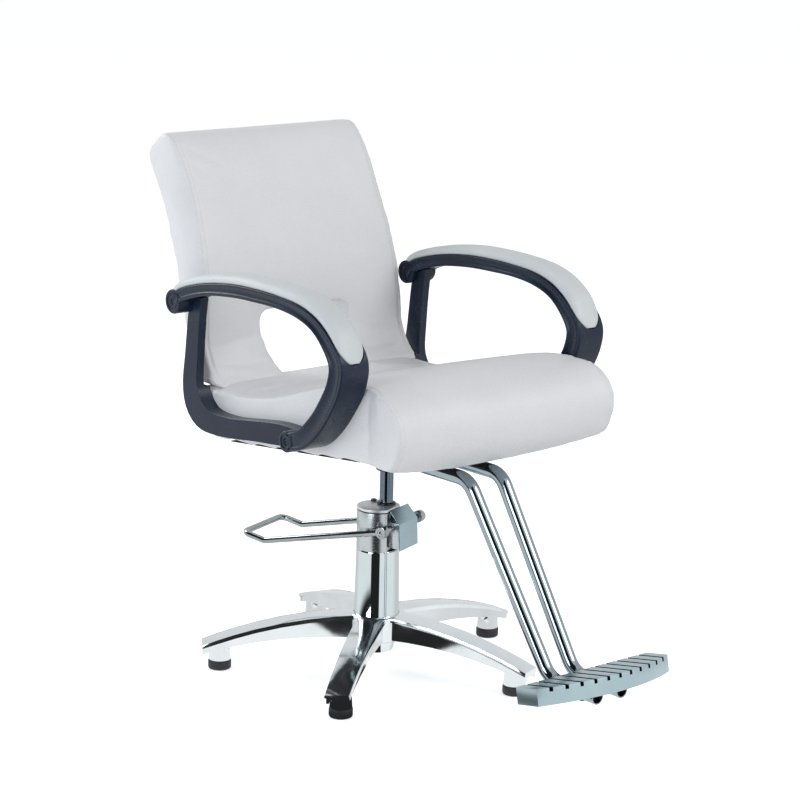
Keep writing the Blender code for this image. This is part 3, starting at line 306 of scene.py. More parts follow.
def build_handling():
    """Cloudy wear: slow smears with fine scuffs inside them."""
    tree, given, result = effect("handling_wear", (("Place", "NodeSocketVector", None),
                                 ("Smear Scale", "NodeSocketFloat", 9.0),
                                 ("Scuff Scale", "NodeSocketFloat", 160.0)),
                                 ("Mask", "Height"))
    smear = ramp(tree, noise_node(tree, given.outputs["Place"], given.outputs["Smear Scale"]),
                 0.38, 0.68)
    scuff = ramp(tree, noise_node(tree, given.outputs["Place"], given.outputs["Scuff Scale"],
                                  6.0, 0.7, 1.5), 0.5, 0.75)
    both = calc(tree, "MULTIPLY_ADD", calc(tree, "MULTIPLY", smear, scuff), 0.7,
                calc(tree, "MULTIPLY", smear, 0.3))
    tree.links.new(both, result.inputs["Mask"])
    tree.links.new(scuff, result.inputs["Height"])
    return tree


def build_brushing():
    """Parallel grinding lines; the Place vector is already stretched along them."""
    tree, given, result = effect("brushed_lines", (("Place", "NodeSocketVector", None),
                                 ("Line Scale", "NodeSocketFloat", 1.0)), ("Mask", "Height"))
    fine = noise_node(tree, given.outputs["Place"], given.outputs["Line Scale"], 8.0, 0.75)
    tree.links.new(ramp(tree, fine, 0.3, 0.7), result.inputs["Mask"])
    tree.links.new(fine, result.inputs["Height"])
    return tree


def build_dust():
    """Fine dust that settles on faces that look up."""
    tree, given, result = effect("settled_dust", (("Place", "NodeSocketVector", None),
                                 ("Amount", "NodeSocketFloat", 0.3)), ("Mask",))
    up = tree.nodes.new("ShaderNodeSeparateXYZ")
    tree.links.new(tree.nodes.new("ShaderNodeNewGeometry").outputs["Normal"], up.inputs[0])
    lying = ramp(tree, up.outputs[2], 0.35, 0.95)
    patchy = ramp(tree, noise_node(tree, given.outputs["Place"], 22.0, 5.0, 0.7), 0.35, 0.75)
    tree.links.new(calc(tree, "MULTIPLY", calc(tree, "MULTIPLY", lying, patchy),
                        given.outputs["Amount"]), result.inputs["Mask"])
    return tree


handling_wear, brushed_lines, settled_dust = build_handling(), build_brushing(), build_dust()


def fair_copy(node, name, edge, fold=30, segments=2):
    """Copy of a CAD solid: facets welded, hard edges broken as far as its shortest edges
    allow, curved faces shaded smooth."""
    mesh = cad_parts[node].data.copy()
    mesh.name = name
    bm = bmesh.new()
    bm.from_mesh(mesh)
    bmesh.ops.remove_doubles(bm, verts=bm.verts, dist=2e-5)
    bmesh.ops.dissolve_limit(bm, angle_limit=math.radians(0.4), verts=bm.verts,
                             edges=bm.edges)
    if edge:
        hard = [e for e in bm.edges if len(e.link_faces) == 2
                and e.calc_face_angle(0) > math.radians(fold)]
        bmesh.ops.bevel(bm, geom=hard, offset=edge, offset_type="OFFSET", segments=segments,
                        profile=0.5, affect="EDGES", clamp_overlap=True)
    bmesh.ops.triangulate(bm, faces=[f for f in bm.faces if len(f.verts) > 4])
    bm.to_mesh(mesh)
    bm.free()
    for a in list(mesh.attributes):
        if a.name.startswith("custom_normal"):
            mesh.attributes.remove(a)
    mesh.shade_smooth()
    mesh.set_sharp_from_angle(angle=math.radians(40))
    mesh.materials.clear()
    return link(name, mesh)


def settle(piece, finish, body, slot, *nodes):
    """Give a piece its finish and its body and hide the CAD nodes it stands for; its record slot
    is not used.
    """
    if finish is not None:
        piece.data.materials.clear()
        piece.data.materials.append(finish.material)
    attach(piece, body)
    if nodes:
        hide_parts(*nodes)
    return piece


def worn_finish(name, metallic, fresh, worn, smears, scuffs, sheen):
    """Finish between its fresh and its worn tone; sheen holds its two roughnesses."""
    finish = Finish(name, fresh, sheen[0], metallic)
    wear = finish.group(handling_wear, Place=finish.place, Smear_Scale=smears,
                        Scuff_Scale=scuffs)
    finish.tint(wear["Mask"], fresh, worn)
    finish.rough(wear["Mask"], *sheen)
    return finish


polished = worn_finish("polished_casting", 1.0, (0.84, 0.89, 0.91), (0.68, 0.74, 0.76),
                       14.0, 220.0, (0.10, 0.24))
polished.relief(noise_node(polished.tree, polished.place, 26.0, 2.0), 0.0006, 0.35)
settle(fair_copy("star_base", "star_casting", 0.0007), polished, "base", "polished_star",
       "star_base")


# ==== glides ==============================================================================
# Black rubber glides on steel studs, screwed up into the leg tips. Each is a turned puck
# with a rounded foot, a waist and a collar that meets the casting.
def turned(name, profile, centre, steps=72):
    """Solid of revolution about a vertical axis from (radius, height) points, low to high."""
    bm = bmesh.new()
    rings = []
    for radius, height in profile:
        if radius < 1e-6:
            rings.append([bm.verts.new((centre[0], centre[1], height))])
            continue
        rings.append([bm.verts.new((centre[0] + radius * math.cos(math.tau * k / steps),
                                    centre[1] + radius * math.sin(math.tau * k / steps),
                                    height)) for k in range(steps)])
    for low, high in zip(rings, rings[1:]):
        for k in range(steps):
            n = (k + 1) % steps
            if len(low) == 1:
                bm.faces.new((low[0], high[n], high[k]))
            elif len(high) == 1:
                bm.faces.new((low[k], low[n], high[0]))
            else:
                bm.faces.new((low[k], low[n], high[n], high[k]))
    bmesh.ops.recalc_face_normals(bm, faces=bm.faces)
    mesh = bpy.data.meshes.new(name)
    bm.to_mesh(mesh)
    bm.free()
    mesh.shade_smooth()
    mesh.set_sharp_from_angle(angle=math.radians(38))
    return link(name, mesh)


def middle(node):
    low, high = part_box(node)
    return (low + high) / 2


def rounded(radius, height, ease, inward=1):
    """Three points that round the corner of a turned profile at (radius, height)."""
    return [(radius - ease, height), (radius - 0.3 * ease, height - inward * 0.3 * ease),
            (radius, height - inward * ease)]


glide_rubber = Finish("glide_rubber", (0.022, 0.022, 0.024), 0.55)
dulled = glide_rubber.group(settled_dust, Place=glide_rubber.place, Amount=0.5)
glide_rubber.tint(dulled["Mask"], (0.02, 0.02, 0.022), (0.16, 0.155, 0.15))
glide_rubber.relief(noise_node(glide_rubber.tree, glide_rubber.place, 900.0, 2.0), 0.0002)

glide_low, glide_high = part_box("glide_1")
glide_radius = (glide_high.x - glide_low.x) / 2
GLIDE_PUCK = 0.018
GLIDE_NECK = 0.0075
glide_profile = [(0, 0), *rounded(glide_radius, 0, 0.004, -1),
                 *rounded(glide_radius, GLIDE_PUCK, 0.003)[::-1],
                 (GLIDE_NECK, GLIDE_PUCK - 0.0002), (GLIDE_NECK, glide_high.z), (0, glide_high.z)]


def geometry_tree(name, inputs):
    """Geometry node group with named inputs; returns tree, its input and its output node."""
    tree = bpy.data.node_groups.new(name, "GeometryNodeTree")
    tree.interface.new_socket("Geometry", in_out="INPUT", socket_type="NodeSocketGeometry")
    for label, kind, value in inputs:
        entry = tree.interface.new_socket(label, in_out="INPUT", socket_type=kind)
        if value is not None:
            entry.default_value = value
    tree.interface.new_socket("Geometry", in_out="OUTPUT", socket_type="NodeSocketGeometry")
    return tree, tree.nodes.new("NodeGroupInput"), tree.nodes.new("NodeGroupOutput")


def set_in(tree, name, node_type, **values):
    """Add a node and fill its inputs by name with sockets or values."""
    node = tree.nodes.new(node_type)
    node.label = name
    for label, value in values.items():
        target = node.inputs[label.replace("_", " ")]
        if isinstance(value, bpy.types.NodeSocket):
            tree.links.new(value, target)
        else:
            target.default_value = value
    return node


def finish_tree(tree, result, geometry, material):
    """Every tree ends alike: instances made real, then the material."""
    real = set_in(tree, "make real", "GeometryNodeRealizeInstances", Geometry=geometry)
    painted = set_in(tree, "finish", "GeometryNodeSetMaterial", Geometry=real.outputs[0],
                     Material=material)
    tree.links.new(painted.outputs[0], result.inputs["Geometry"])


def grow(name, mesh, tree, **values):
    """Run a geometry tree on a mesh and keep the result as a plain mesh object."""
    host = link(name + "_host", mesh)
    modifier = host.modifiers.new(tree.name, "NODES")
    modifier.node_group = tree
    for item in tree.interface.items_tree:
        key = item.name.replace(" ", "_")
        if item.in_out == "INPUT" and key in values:
            modifier[item.identifier] = values[key]
    bpy.context.view_layer.update()
    ready = host.evaluated_get(bpy.context.evaluated_depsgraph_get())
    plain = bpy.data.meshes.new_from_object(ready)
    plain.name = name
    bpy.data.objects.remove(host)
    return link(name, plain)


def points_mesh(name, points):
    mesh = bpy.data.meshes.new(name)
    mesh.from_pydata([tuple(p) for p in points], [], [])
    return mesh


def copies_tree(name, material):
    """One copy of an object at each point."""
    tree, given, result = geometry_tree(name, (("Copied Piece", "NodeSocketObject", None),))
    piece = set_in(tree, "piece", "GeometryNodeObjectInfo", Object=given.outputs["Copied Piece"])
    spread = set_in(tree, "spread", "GeometryNodeInstanceOnPoints",
                    Points=given.outputs["Geometry"], Instance=piece.outputs["Geometry"])
    finish_tree(tree, result, spread.outputs[0], material)
    return tree


def copies(name, piece, points, finish):
    """Copies of a small piece at points; the pattern piece is removed afterwards."""
    made = grow(name, points_mesh(name, points), copies_tree(name, finish.material),
                Copied_Piece=piece)
    bpy.data.objects.remove(piece)
    return made


glide_places = [Vector((*middle(f"glide_{k}").xy, 0)) for k in range(1, 6)]
glide_feet = copies("glide_feet", turned("glide_pattern", glide_profile, (0, 0), 64),
                    glide_places, glide_rubber)
settle(glide_feet, glide_rubber, "base", "glide_rubber", *[f"glide_{k}" for k in range(1, 6)])


# ==== column ==============================================================================
# Seamless steel tube, chrome plated, clamped between the star's hub and the pump head. It
# narrows slightly towards the top and sits on a thin bright shoulder.
chrome = worn_finish("chrome_plate", 1.0, (0.66, 0.74, 0.75), (0.58, 0.65, 0.67), 11.0, 300.0,
                     (0.03, 0.11))

column_low, column_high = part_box("column_tube")
column_middle = middle("column_tube").xy
column_radius = (column_high.x - column_low.x) / 2
COLUMN_NARROWING = 0.0025
COLUMN_WALL = 0.003
column_top_radius = column_radius - COLUMN_NARROWING
COLUMN_EDGE = 0.0006
SHOULDER_HEIGHT = 0.004
column_profile = [(column_radius - COLUMN_WALL, column_low.z),
                  (column_radius - COLUMN_EDGE, column_low.z),
                  (column_radius, column_low.z + 0.0008),
                  (column_radius, column_low.z + SHOULDER_HEIGHT),
                  (column_radius - COLUMN_EDGE, column_low.z + SHOULDER_HEIGHT + 0.001),
                  (column_top_radius, column_high.z - SHOULDER_HEIGHT),
                  (column_top_radius - COLUMN_EDGE, column_high.z - 0.0004),
                  (column_top_radius - 0.001, column_high.z),
                  (column_top_radius - COLUMN_WALL, column_high.z),
                  (column_radius - COLUMN_WALL, column_low.z)]
settle(turned("column_shell", column_profile, column_middle, 96), chrome, "base", "chrome",
       "column_tube")


# ==== pump head, cap and gear =============================================================
# Cast aluminium head turned on its outside, a thin dark gasket and a pale steel cap under
# its screws, and a folded sheet cover over the pump block and its plunger.
satin_casting = Finish("turned_casting", (0.62, 0.64, 0.66), 0.26, 1.0)
turning = satin_casting.group(brushed_lines, Place=satin_casting.stretched((6, 6, 2400)),
                              Line_Scale=1.0)
satin_casting.tint(turning["Mask"], (0.52, 0.56, 0.58), (0.60, 0.64, 0.66))
satin_casting.rough(turning["Mask"], 0.2, 0.34)
satin_casting.relief(turning["Height"], 0.00003, 0.4)

cap_steel = Finish("pale_cap_steel", (0.84, 0.85, 0.85), 0.38, 0.7)
facing_cut = cap_steel.group(handling_wear, Place=cap_steel.place, Smear_Scale=40.0,
                             Scuff_Scale=700.0)
cap_steel.tint(facing_cut["Mask"], (0.86, 0.87, 0.87), (0.7, 0.71, 0.72))

cover_sheet = Finish("brushed_cover_sheet", (0.60, 0.65, 0.69), 0.33, 0.85)
drawn = cover_sheet.group(brushed_lines, Place=cover_sheet.stretched((30, 30, 1200)),
                          Line_Scale=1.0)
cover_sheet.tint(drawn["Mask"], (0.37, 0.50, 0.55), (0.46, 0.60, 0.65))
cover_sheet.relief(drawn["Height"], 0.00008, 0.5)

seal_rubber = worn_finish("seal_rubber", 0.0, (0.014, 0.014, 0.016), (0.05, 0.05, 0.055),
                          120.0, 900.0, (0.3, 0.6))
fastener = worn_finish("blackened_screw", 0.9, (0.09, 0.09, 0.1), (0.34, 0.34, 0.35),
                       150.0, 1200.0, (0.28, 0.5))

machined = Finish("machined_steel", (0.56, 0.57, 0.59), 0.24, 1.0)
tooled = machined.group(brushed_lines, Place=machined.stretched((600, 600, 600)),
                        Line_Scale=1.0)
machined.tint(tooled["Mask"], (0.45, 0.46, 0.48), (0.66, 0.67, 0.69))
machined.relief(tooled["Height"], 0.00005, 0.4)

settle(fair_copy("pump_head", "head_casting", 0.0009), satin_casting, "base", "pump_casting",
       "pump_head")
settle(fair_copy("head_gasket", "gasket_sheet", 0), seal_rubber, "base", "seal_rubber",
       "head_gasket")
settle(fair_copy("head_cap", "cap_disc", 0.0011, segments=3), cap_steel, "base", "cap_steel",
       "head_cap")
settle(fair_copy("pump_block", "block_casting", 0.0007), satin_casting, "base",
       "pump_casting", "pump_block")
settle(fair_copy("pump_cover", "cover_pressing", 0.0012, fold=20, segments=3), cover_sheet,
       "base", "cover_sheet", "pump_cover")
settle(fair_copy("pump_plunger", "plunger_pin", 0.0004), machined, "plunger",
       "machined_steel", "pump_plunger")
settle(fair_copy("pump_finger", "finger_cam", 0.0004), machined, "pedal", "machined_steel",
       "pump_finger")
settle(fair_copy("pedal_shaft", "cross_shaft", 0.0005), machined, "pedal",
       "machined_steel", "pedal_shaft")


def repaint(finish, *nodes):
    """Give CAD nodes that keep their own shape a better material."""
    for node in nodes:
        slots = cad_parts[node].material_slots
        for place in slots:
            place.material = finish.material


gland_brass = Finish("gland_brass", (0.62, 0.46, 0.2), 0.3, 1.0)
aged = gland_brass.group(handling_wear, Place=gland_brass.place, Smear_Scale=60.0,
                         Scuff_Scale=600.0)
gland_brass.tint(aged["Mask"], (0.66, 0.49, 0.22), (0.36, 0.26, 0.12))
repaint(gland_brass, "ram_gland")
repaint(machined, "pressure_cylinder", "reservoir_floor", "base_washer", "piston")

# return spring under the plunger's head, which shortens as the plunger goes down; this copy gets a
# mesh of its own and keeps its rest shape
return_spring = settle(fair_copy("plunger_spring", "return_spring", 0), machined, "base",
                       "machined_steel", "plunger_spring")
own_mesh(return_spring)
repaint(seal_rubber, "piston_seal")
repaint(fastener, "base_bolt")

# filler screw: cheese head with a rim and a driving slot
screw_low, screw_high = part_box("filler_screw")
screw_radius = (screw_high.x - screw_low.x) / 2
screw_profile = [(0, screw_low.z), *rounded(screw_radius, screw_low.z, 0.0003, -1),
                 *rounded(screw_radius, screw_high.z, 0.0008)[::-1],
                 (screw_radius * 0.5, screw_high.z), (screw_radius * 0.42, screw_high.z - 0.0012),
                 (0, screw_high.z - 0.0012)]
settle(turned("filler_plug", screw_profile, middle("filler_screw").xy, 48), fastener, "base",
       "fastener_steel", "filler_screw")

# rubber wiper round the ram, with a thin lip
wiper_low, wiper_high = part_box("ram_wiper")
wiper_radius = (wiper_high.x - wiper_low.x) / 2
ram_radius = (ram_high.x - ram_low.x) / 2
wiper_profile = [(ram_radius + 0.0003, wiper_low.z), (wiper_radius, wiper_low.z),
                 *rounded(wiper_radius, wiper_high.z, 0.0012)[::-1],
                 (ram_radius + 0.0014, wiper_high.z), (ram_radius + 0.0003, wiper_high.z + 0.0006),
                 (ram_radius + 0.0003, wiper_low.z)]
settle(turned("wiper_lip", wiper_profile, swivel.xy, 72), seal_rubber, "base", "seal_rubber",
       "ram_wiper")


# ==== foot pedal ==========================================================================
# One length of chromed bar bent to an open loop, cranked down behind the column. Its ends
# run into two turned clamps on the cross shaft, each pinched by a socket screw.
PUMP_TURN = math.radians(-69.6)
PEDAL_PIVOT = Vector((0.031, 0, 0.269))
PEDAL_ARM_SPACING = 0.066
PEDAL_BAR = 0.0058
PEDAL_CRANK = (-0.217, 0.215)
PEDAL_TOE = (-0.262, 0.224)
PEDAL_CORNER = 0.014


def filleted(corners, radius, steps=8):
    """Path through the corners with each inner corner rounded to the radius."""
    corners = [Vector(c) for c in corners]
    path = [corners[0]]
    for before, corner, after in zip(corners, corners[1:], corners[2:]):
        back, onward = (before - corner).normalized(), (after - corner).normalized()
        half = back.angle(onward) / 2
        centre = corner + (back + onward).normalized() * (radius / math.sin(half))
        first = (corner + back * radius / math.tan(half) - centre).normalized()
        last = (corner + onward * radius / math.tan(half) - centre).normalized()
        path += [centre + first.slerp(last, k / steps) * radius for k in range(steps + 1)]
    return path + [corners[-1]]


def rings_along(bm, path, radius, sides):
    """Rings of vertices round a path, without twist from one to the next."""
    across, rings = None, []
    for k, point in enumerate(path):
        ahead = (path[min(k + 1, len(path) - 1)] - path[max(k - 1, 0)]).normalized()
        across = ahead.orthogonal().normalized() if across is None else across
        across = (across - ahead * across.dot(ahead)).normalized()
        side = ahead.cross(across)
        rings.append([bm.verts.new(point + (across * math.cos(math.tau * n / sides)
                                            + side * math.sin(math.tau * n / sides)) * radius)
                      for n in range(sides)])
    return rings


def bar(name, path, radius, bore=0.0, sides=32):
    """Round bar along a path, closed at its ends, or a tube with ring-shaped ends."""
    bm = bmesh.new()
    rings = rings_along(bm, path, radius, sides)
    inner = rings_along(bm, path, bore, sides) if bore else []
    for skin in (rings, inner):
        for low, high in zip(skin, skin[1:]):
            for n in range(sides):
                m = (n + 1) % sides
                bm.faces.new((low[n], low[m], high[m], high[n]))
    for end in (0, -1):
        if not bore:
            bm.faces.new(rings[end])
            continue
        for n in range(sides):
            m = (n + 1) % sides
            bm.faces.new((rings[end][n], rings[end][m], inner[end][m], inner[end][n]))
    bmesh.ops.recalc_face_normals(bm, faces=bm.faces)
    mesh = bpy.data.meshes.new(name)
    bm.to_mesh(mesh)
    bm.free()
    mesh.shade_smooth()
    mesh.set_sharp_from_angle(angle=math.radians(38))
    return link(name, mesh)


def in_pump(forward, aside, height):
    """Point of the pump gear: forward of the ram along the pump, aside along its shaft."""
    turn = Matrix.Rotation(PUMP_TURN, 3, "Z")
    return turn @ Vector((forward, aside, 0)) + swivel + Vector((0, 0, height))


pedal_plate = worn_finish("worn_pedal_plate", 1.0, (0.34, 0.38, 0.39), (0.58, 0.60, 0.60),
                          24.0, 420.0, (0.10, 0.28))
clamp_low, clamp_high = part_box("pedal_clamp_near")
clamp_radius = (clamp_high.z - clamp_low.z) / 2
crank = Vector((PEDAL_CRANK[0], 0, PEDAL_CRANK[1]))
toe = Vector((PEDAL_TOE[0], 0, PEDAL_TOE[1]))
bar_start = PEDAL_PIVOT + (crank - PEDAL_PIVOT).normalized() * (clamp_radius - 0.002)
near_side, far_side = (Vector((0, side * PEDAL_ARM_SPACING, 0)) for side in (-1, 1))
pedal_corners = [p + near_side for p in (bar_start, crank, toe)]
pedal_corners += [p + far_side for p in (toe, crank, bar_start)]
pedal_bar = bar("pedal_bar", [in_pump(*p) for p in filleted(pedal_corners, PEDAL_CORNER)],
                PEDAL_BAR)
settle(pedal_bar, pedal_plate, "pedal", "chrome", "pedal_lever")


def lying_turned(name, profile, start, way, steps=48):
    """Turned solid whose axis runs from start along a direction."""
    piece = turned(name, profile, (0, 0), steps)
    piece.data.transform(Matrix.Translation(start)
                         @ Vector(way).to_track_quat("Z", "Y").to_matrix().to_4x4())
    return piece


def clamp_profile(radius, length):
    """Clamp barrel with broken rims and a hollow outer face for its socket screw."""
    return [(0, 0), *rounded(radius, 0, 0.0009, -1), *rounded(radius, length, 0.0012)[::-1],
            (radius * 0.62, length), (radius * 0.58, length - 0.0008),
            (radius * 0.30, length - 0.0008), (radius * 0.30, length - 0.0055),
            (0, length - 0.0055)]


CLAMP_LENGTH = 0.015
shaft_way = (middle("pedal_clamp_far") - middle("pedal_clamp_near")).normalized()
for node, way in (("pedal_clamp_near", -shaft_way), ("pedal_clamp_far", shaft_way)):
    start = middle(node) - way * CLAMP_LENGTH / 2
    settle(lying_turned(node.replace("pedal_clamp", "clamp_barrel"),
                        clamp_profile(clamp_radius, CLAMP_LENGTH), start, way),
           pedal_plate, "pedal", "chrome", node)
    socket = turned(node.replace("pedal_clamp", "clamp_socket"),
                    [(0, 0), (clamp_radius * 0.29, 0), (clamp_radius * 0.29, 0.001),
                     (clamp_radius * 0.2, 0.001), (clamp_radius * 0.17, 0.0004), (0, 0.0004)],
                    (0, 0), 6)
    socket.data.transform(Matrix.Translation(start + way * (CLAMP_LENGTH - 0.0054))
                          @ way.to_track_quat("Z", "Y").to_matrix().to_4x4())
    settle(socket, fastener, "pedal", "fastener_steel")


# ==== ram and seat underframe =============================================================
# Ground and chromed ram that rises from the wiper into a welded steel socket. The socket
# carries a folded mounting plate, bolted under the plywood seat board; all black enamel.
ram_profile = [(0, ram_low.z), *rounded(ram_radius, ram_low.z, 0.001, -1),
               *rounded(ram_radius, ram_high.z, 0.0008)[::-1], (0, ram_high.z)]
# The ram's base colour is kept dark: painted shade, standing in for the dark underside of the seat
# that the chrome reflects.
ram_chrome_painted_shade = Finish("ground_ram", (0.24, 0.30, 0.36), 0.10, 1.0)
ground = ram_chrome_painted_shade.group(brushed_lines, Place=ram_chrome_painted_shade.stretched((40, 40, 1500)),
                          Line_Scale=1.0)
ram_chrome_painted_shade.tint(ground["Mask"], (0.11, 0.15, 0.19), (0.17, 0.22, 0.27))
settle(turned("ram_rod", ram_profile, swivel.xy, 72), ram_chrome_painted_shade, "seat", "chrome", "ram")

black_enamel = worn_finish("black_enamel", 0.0, (0.018, 0.018, 0.02), (0.07, 0.07, 0.075),
                           26.0, 420.0, (0.3, 0.52))
black_enamel.relief(noise_node(black_enamel.tree, black_enamel.place, 420.0, 2.0), 0.00012)
for node, name in (("seat_socket", "socket_weldment"), ("seat_plate", "mounting_plate"),
                   ("footrest_clamp_front", "clamp_block_front"),
                   ("footrest_clamp_rear", "clamp_block_rear")):
    settle(fair_copy(node, name, 0.0008), black_enamel, "seat", "black_steel", node)
repaint(black_enamel, "side_rail_left", "side_rail_right", "back_rail_left",
        "back_rail_right")
repaint(fastener, *[f"plate_bolt_{k}" for k in range(1, 5)],
        *[f"arm_bolt_{hand}_{k}" for hand in ("left", "right") for k in (1, 2)])

plywood = Finish("birch_ply", (0.5, 0.38, 0.24), 0.6)
plies = plywood.group(brushed_lines, Place=plywood.stretched((14, 4, 500)), Line_Scale=1.0)
plywood.tint(plies["Mask"], (0.38, 0.26, 0.15), (0.62, 0.49, 0.33))
repaint(plywood, "seat_board")

dust_cloth = Finish("dust_cloth", (0.02, 0.02, 0.022), 0.9)


def build_weave():
    """Plain weave as two crossed ribs, for cloth that is seen from below."""
    tree, given, result = effect("plain_weave", (("Place", "NodeSocketVector", None),
                                 ("Threads", "NodeSocketFloat", 900.0)), ("Mask", "Height"))
    split = tree.nodes.new("ShaderNodeSeparateXYZ")
    tree.links.new(given.outputs["Place"], split.inputs[0])
    ribs = [calc(tree, "SINE", calc(tree, "MULTIPLY", axis, given.outputs["Threads"]))
            for axis in (split.outputs[0], split.outputs[1])]
    height = calc(tree, "MULTIPLY_ADD", calc(tree, "MULTIPLY", *ribs), 0.5, 0.5)
    tree.links.new(height, result.inputs["Height"])
    tree.links.new(ramp(tree, height, 0.1, 0.9), result.inputs["Mask"])
    return tree


plain_weave = build_weave()
woven = dust_cloth.group(plain_weave, Place=dust_cloth.place, Threads=2400.0)
dust_cloth.tint(woven["Mask"], (0.012, 0.012, 0.014), (0.05, 0.05, 0.055))
dust_cloth.relief(woven["Height"], 0.0003)
repaint(dust_cloth, "dust_cover")


# ==== footrest ============================================================================
# Two chromed tubes, bent at the knee and again under the footplate, with open front ends.
# The footplate is an aluminium casting with cut slots, screwed down on the tubes.
TUBE_RADIUS = 0.0127
TUBE_BORE = 0.0107
TUBE_SPACING = (0.037, 0.028)
TUBE_LEVEL = 0.408
TUBE_REAR = 0.060
TUBE_KNEE = -0.262
TUBE_FOOT = (-0.469, 0.105)
TUBE_FRONT = -0.584
TUBE_BEND = 0.045
# The tubes' chrome is toned darker all over: painted shade, standing in for the black streaks that
# the tubes reflect.
leg_chrome = worn_finish("leg_chrome", 1.0, (0.36, 0.43, 0.47), (0.28, 0.33, 0.36),
                         16.0, 380.0, (0.05, 0.16))
for side, hand in ((-1, "left"), (1, "right")):
    top, low = side * TUBE_SPACING[0], side * TUBE_SPACING[1]
    corners = [(top, TUBE_REAR, TUBE_LEVEL), (top, TUBE_KNEE, TUBE_LEVEL),
               (low, *TUBE_FOOT), (low, TUBE_FRONT, TUBE_FOOT[1])]
    path = [p + swivel for p in filleted(corners, TUBE_BEND, 12)]
    settle(bar(f"leg_tube_{hand}", path, TUBE_RADIUS, TUBE_BORE), leg_chrome, "seat", "chrome",
           f"footrest_tube_{hand}")
    settle(fair_copy(f"footplate_screw_{hand}", f"plate_screw_{hand}", 0.0003), fastener,
           "seat", "fastener_steel", f"footplate_screw_{hand}")

plate_casting = worn_finish("footplate_casting", 0.85, (0.42, 0.55, 0.59), (0.52, 0.64, 0.67),
                            16.0, 500.0, (0.30, 0.44))
plate_casting.relief(noise_node(plate_casting.tree, plate_casting.place, 1500.0, 3.0, 0.6),
                     0.00005, 0.5)
GROOVE_SHADE = (0.012, 0.015, 0.017)


def mark_grooves(piece):
    """Face attribute that is one inside the slots, below the deck and off its outer faces."""
    top = max((v.co for v in piece.data.vertices), key=lambda co: co.z)
    deck = [p for p in piece.data.polygons if p.normal.z > 0.9
            and (p.center - top).length < 0.12 and p.center.z > top.z - 0.02]
    lie = sum((p.normal * p.area for p in deck), Vector()).normalized()
    reach = max(abs(v.co.x) for v in piece.data.vertices) - 0.003
    front = min(v.co.y for v in piece.data.vertices)
    level = max(v.co.dot(lie) for v in piece.data.vertices)
    marks = piece.data.attributes.new("groove", "FLOAT", "FACE")
    for face, mark in zip(piece.data.polygons, marks.data):
        depth = level - face.center.dot(lie)
        wall = abs(face.normal.x) > 0.8 and abs(face.center.x) < reach
        floor = face.normal.dot(lie) > 0.9
        mark.value = 1.0 if depth > 0.0016 and depth < 0.02 and (wall or floor) else 0.0


def darken_grooves(finish):
    """Dirt and shade held in the slots, over the casting's own colour."""
    tree, shader = finish.tree, finish.shader
    held = tree.nodes.new("ShaderNodeAttribute")
    held.attribute_name = "groove"
    mix = tree.nodes.new("ShaderNodeMix")
    mix.data_type = "RGBA"
    tree.links.new(held.outputs["Fac"], mix.inputs["Factor"])
    tree.links.new(shader.inputs["Base Color"].links[0].from_socket, mix.inputs["A"])
    mix.inputs["B"].default_value = (*GROOVE_SHADE, 1.0)
    tree.links.new(mix.outputs["Result"], shader.inputs["Base Color"])


darken_grooves(plate_casting)
footplate_deck = fair_copy("footplate", "footplate_deck", 0.0009, segments=2)
mark_grooves(footplate_deck)
settle(footplate_deck, plate_casting, "seat", "footplate_aluminium", "footplate")


# ==== seat and back =======================================================================
# Foam on the seat board and on two steel rails, covered in coated cloth: a centre panel
# that wraps from front to back, let in between two side panels. Both seams of each side
# panel are pulled tight and topstitched on either side.
def build_grain():
    """Embossed leather grain: fine cells with creases between them and a slow cloudiness."""
    tree, given, result = effect("embossed_grain", (("Place", "NodeSocketVector", None),
                                 ("Cells", "NodeSocketFloat", 700.0)),
                                 ("Mask", "Height", "Cloud"))
    cells = tree.nodes.new("ShaderNodeTexVoronoi")
    cells.feature = "SMOOTH_F1"
    cells.inputs["Smoothness"].default_value = 0.35
    bent = tree.nodes.new("ShaderNodeVectorMath")
    bent.operation = "MULTIPLY_ADD"
    wander = tree.nodes.new("ShaderNodeTexNoise")
    wander.inputs["Scale"].default_value = 210.0
    tree.links.new(given.outputs["Place"], wander.inputs["Vector"])
    tree.links.new(wander.outputs["Color"], bent.inputs[0])
    bent.inputs[1].default_value = (0.0016, 0.0016, 0.0016)
    tree.links.new(given.outputs["Place"], bent.inputs[2])
    tree.links.new(bent.outputs[0], cells.inputs["Vector"])
    tree.links.new(given.outputs["Cells"], cells.inputs["Scale"])
    crease = ramp(tree, cells.outputs["Distance"], 0.25, 0.75)
    soft = noise_node(tree, given.outputs["Place"], 46.0, 4.0, 0.6)
    height = calc(tree, "MULTIPLY_ADD", crease, -1.0, calc(tree, "MULTIPLY", soft, 0.6))
    tree.links.new(crease, result.inputs["Mask"])
    tree.links.new(height, result.inputs["Height"])
    tree.links.new(ramp(tree, noise_node(tree, given.outputs["Place"], 5.0, 3.0), 0.3, 0.7),
                   result.inputs["Cloud"])
    return tree


embossed_grain = build_grain()


def coated_cloth(name, light, shade, cells=650.0):
    """White coated cloth: grain, faint handling marks along the high places."""
    cloth = Finish(name, light, 0.46)
    grain = cloth.group(embossed_grain, Place=cloth.place, Cells=cells)
    used = cloth.group(handling_wear, Place=cloth.place, Smear_Scale=7.0, Scuff_Scale=90.0)
    tree = cloth.tree
    tone = calc(tree, "MULTIPLY_ADD", grain["Mask"], 0.35,
                calc(tree, "MULTIPLY_ADD", used["Mask"], 0.25,
                     calc(tree, "MULTIPLY", grain["Cloud"], 0.25)))
    cloth.tint(tone, light, shade)
    cloth.rough(tone, 0.40, 0.62)
    cloth.relief(grain["Height"], 0.00035, 0.55)
    cloth.shader.inputs["Coat Roughness"].default_value = 0.35
    cloth.shader.inputs["Coat Weight"].default_value = 0.12
    return cloth


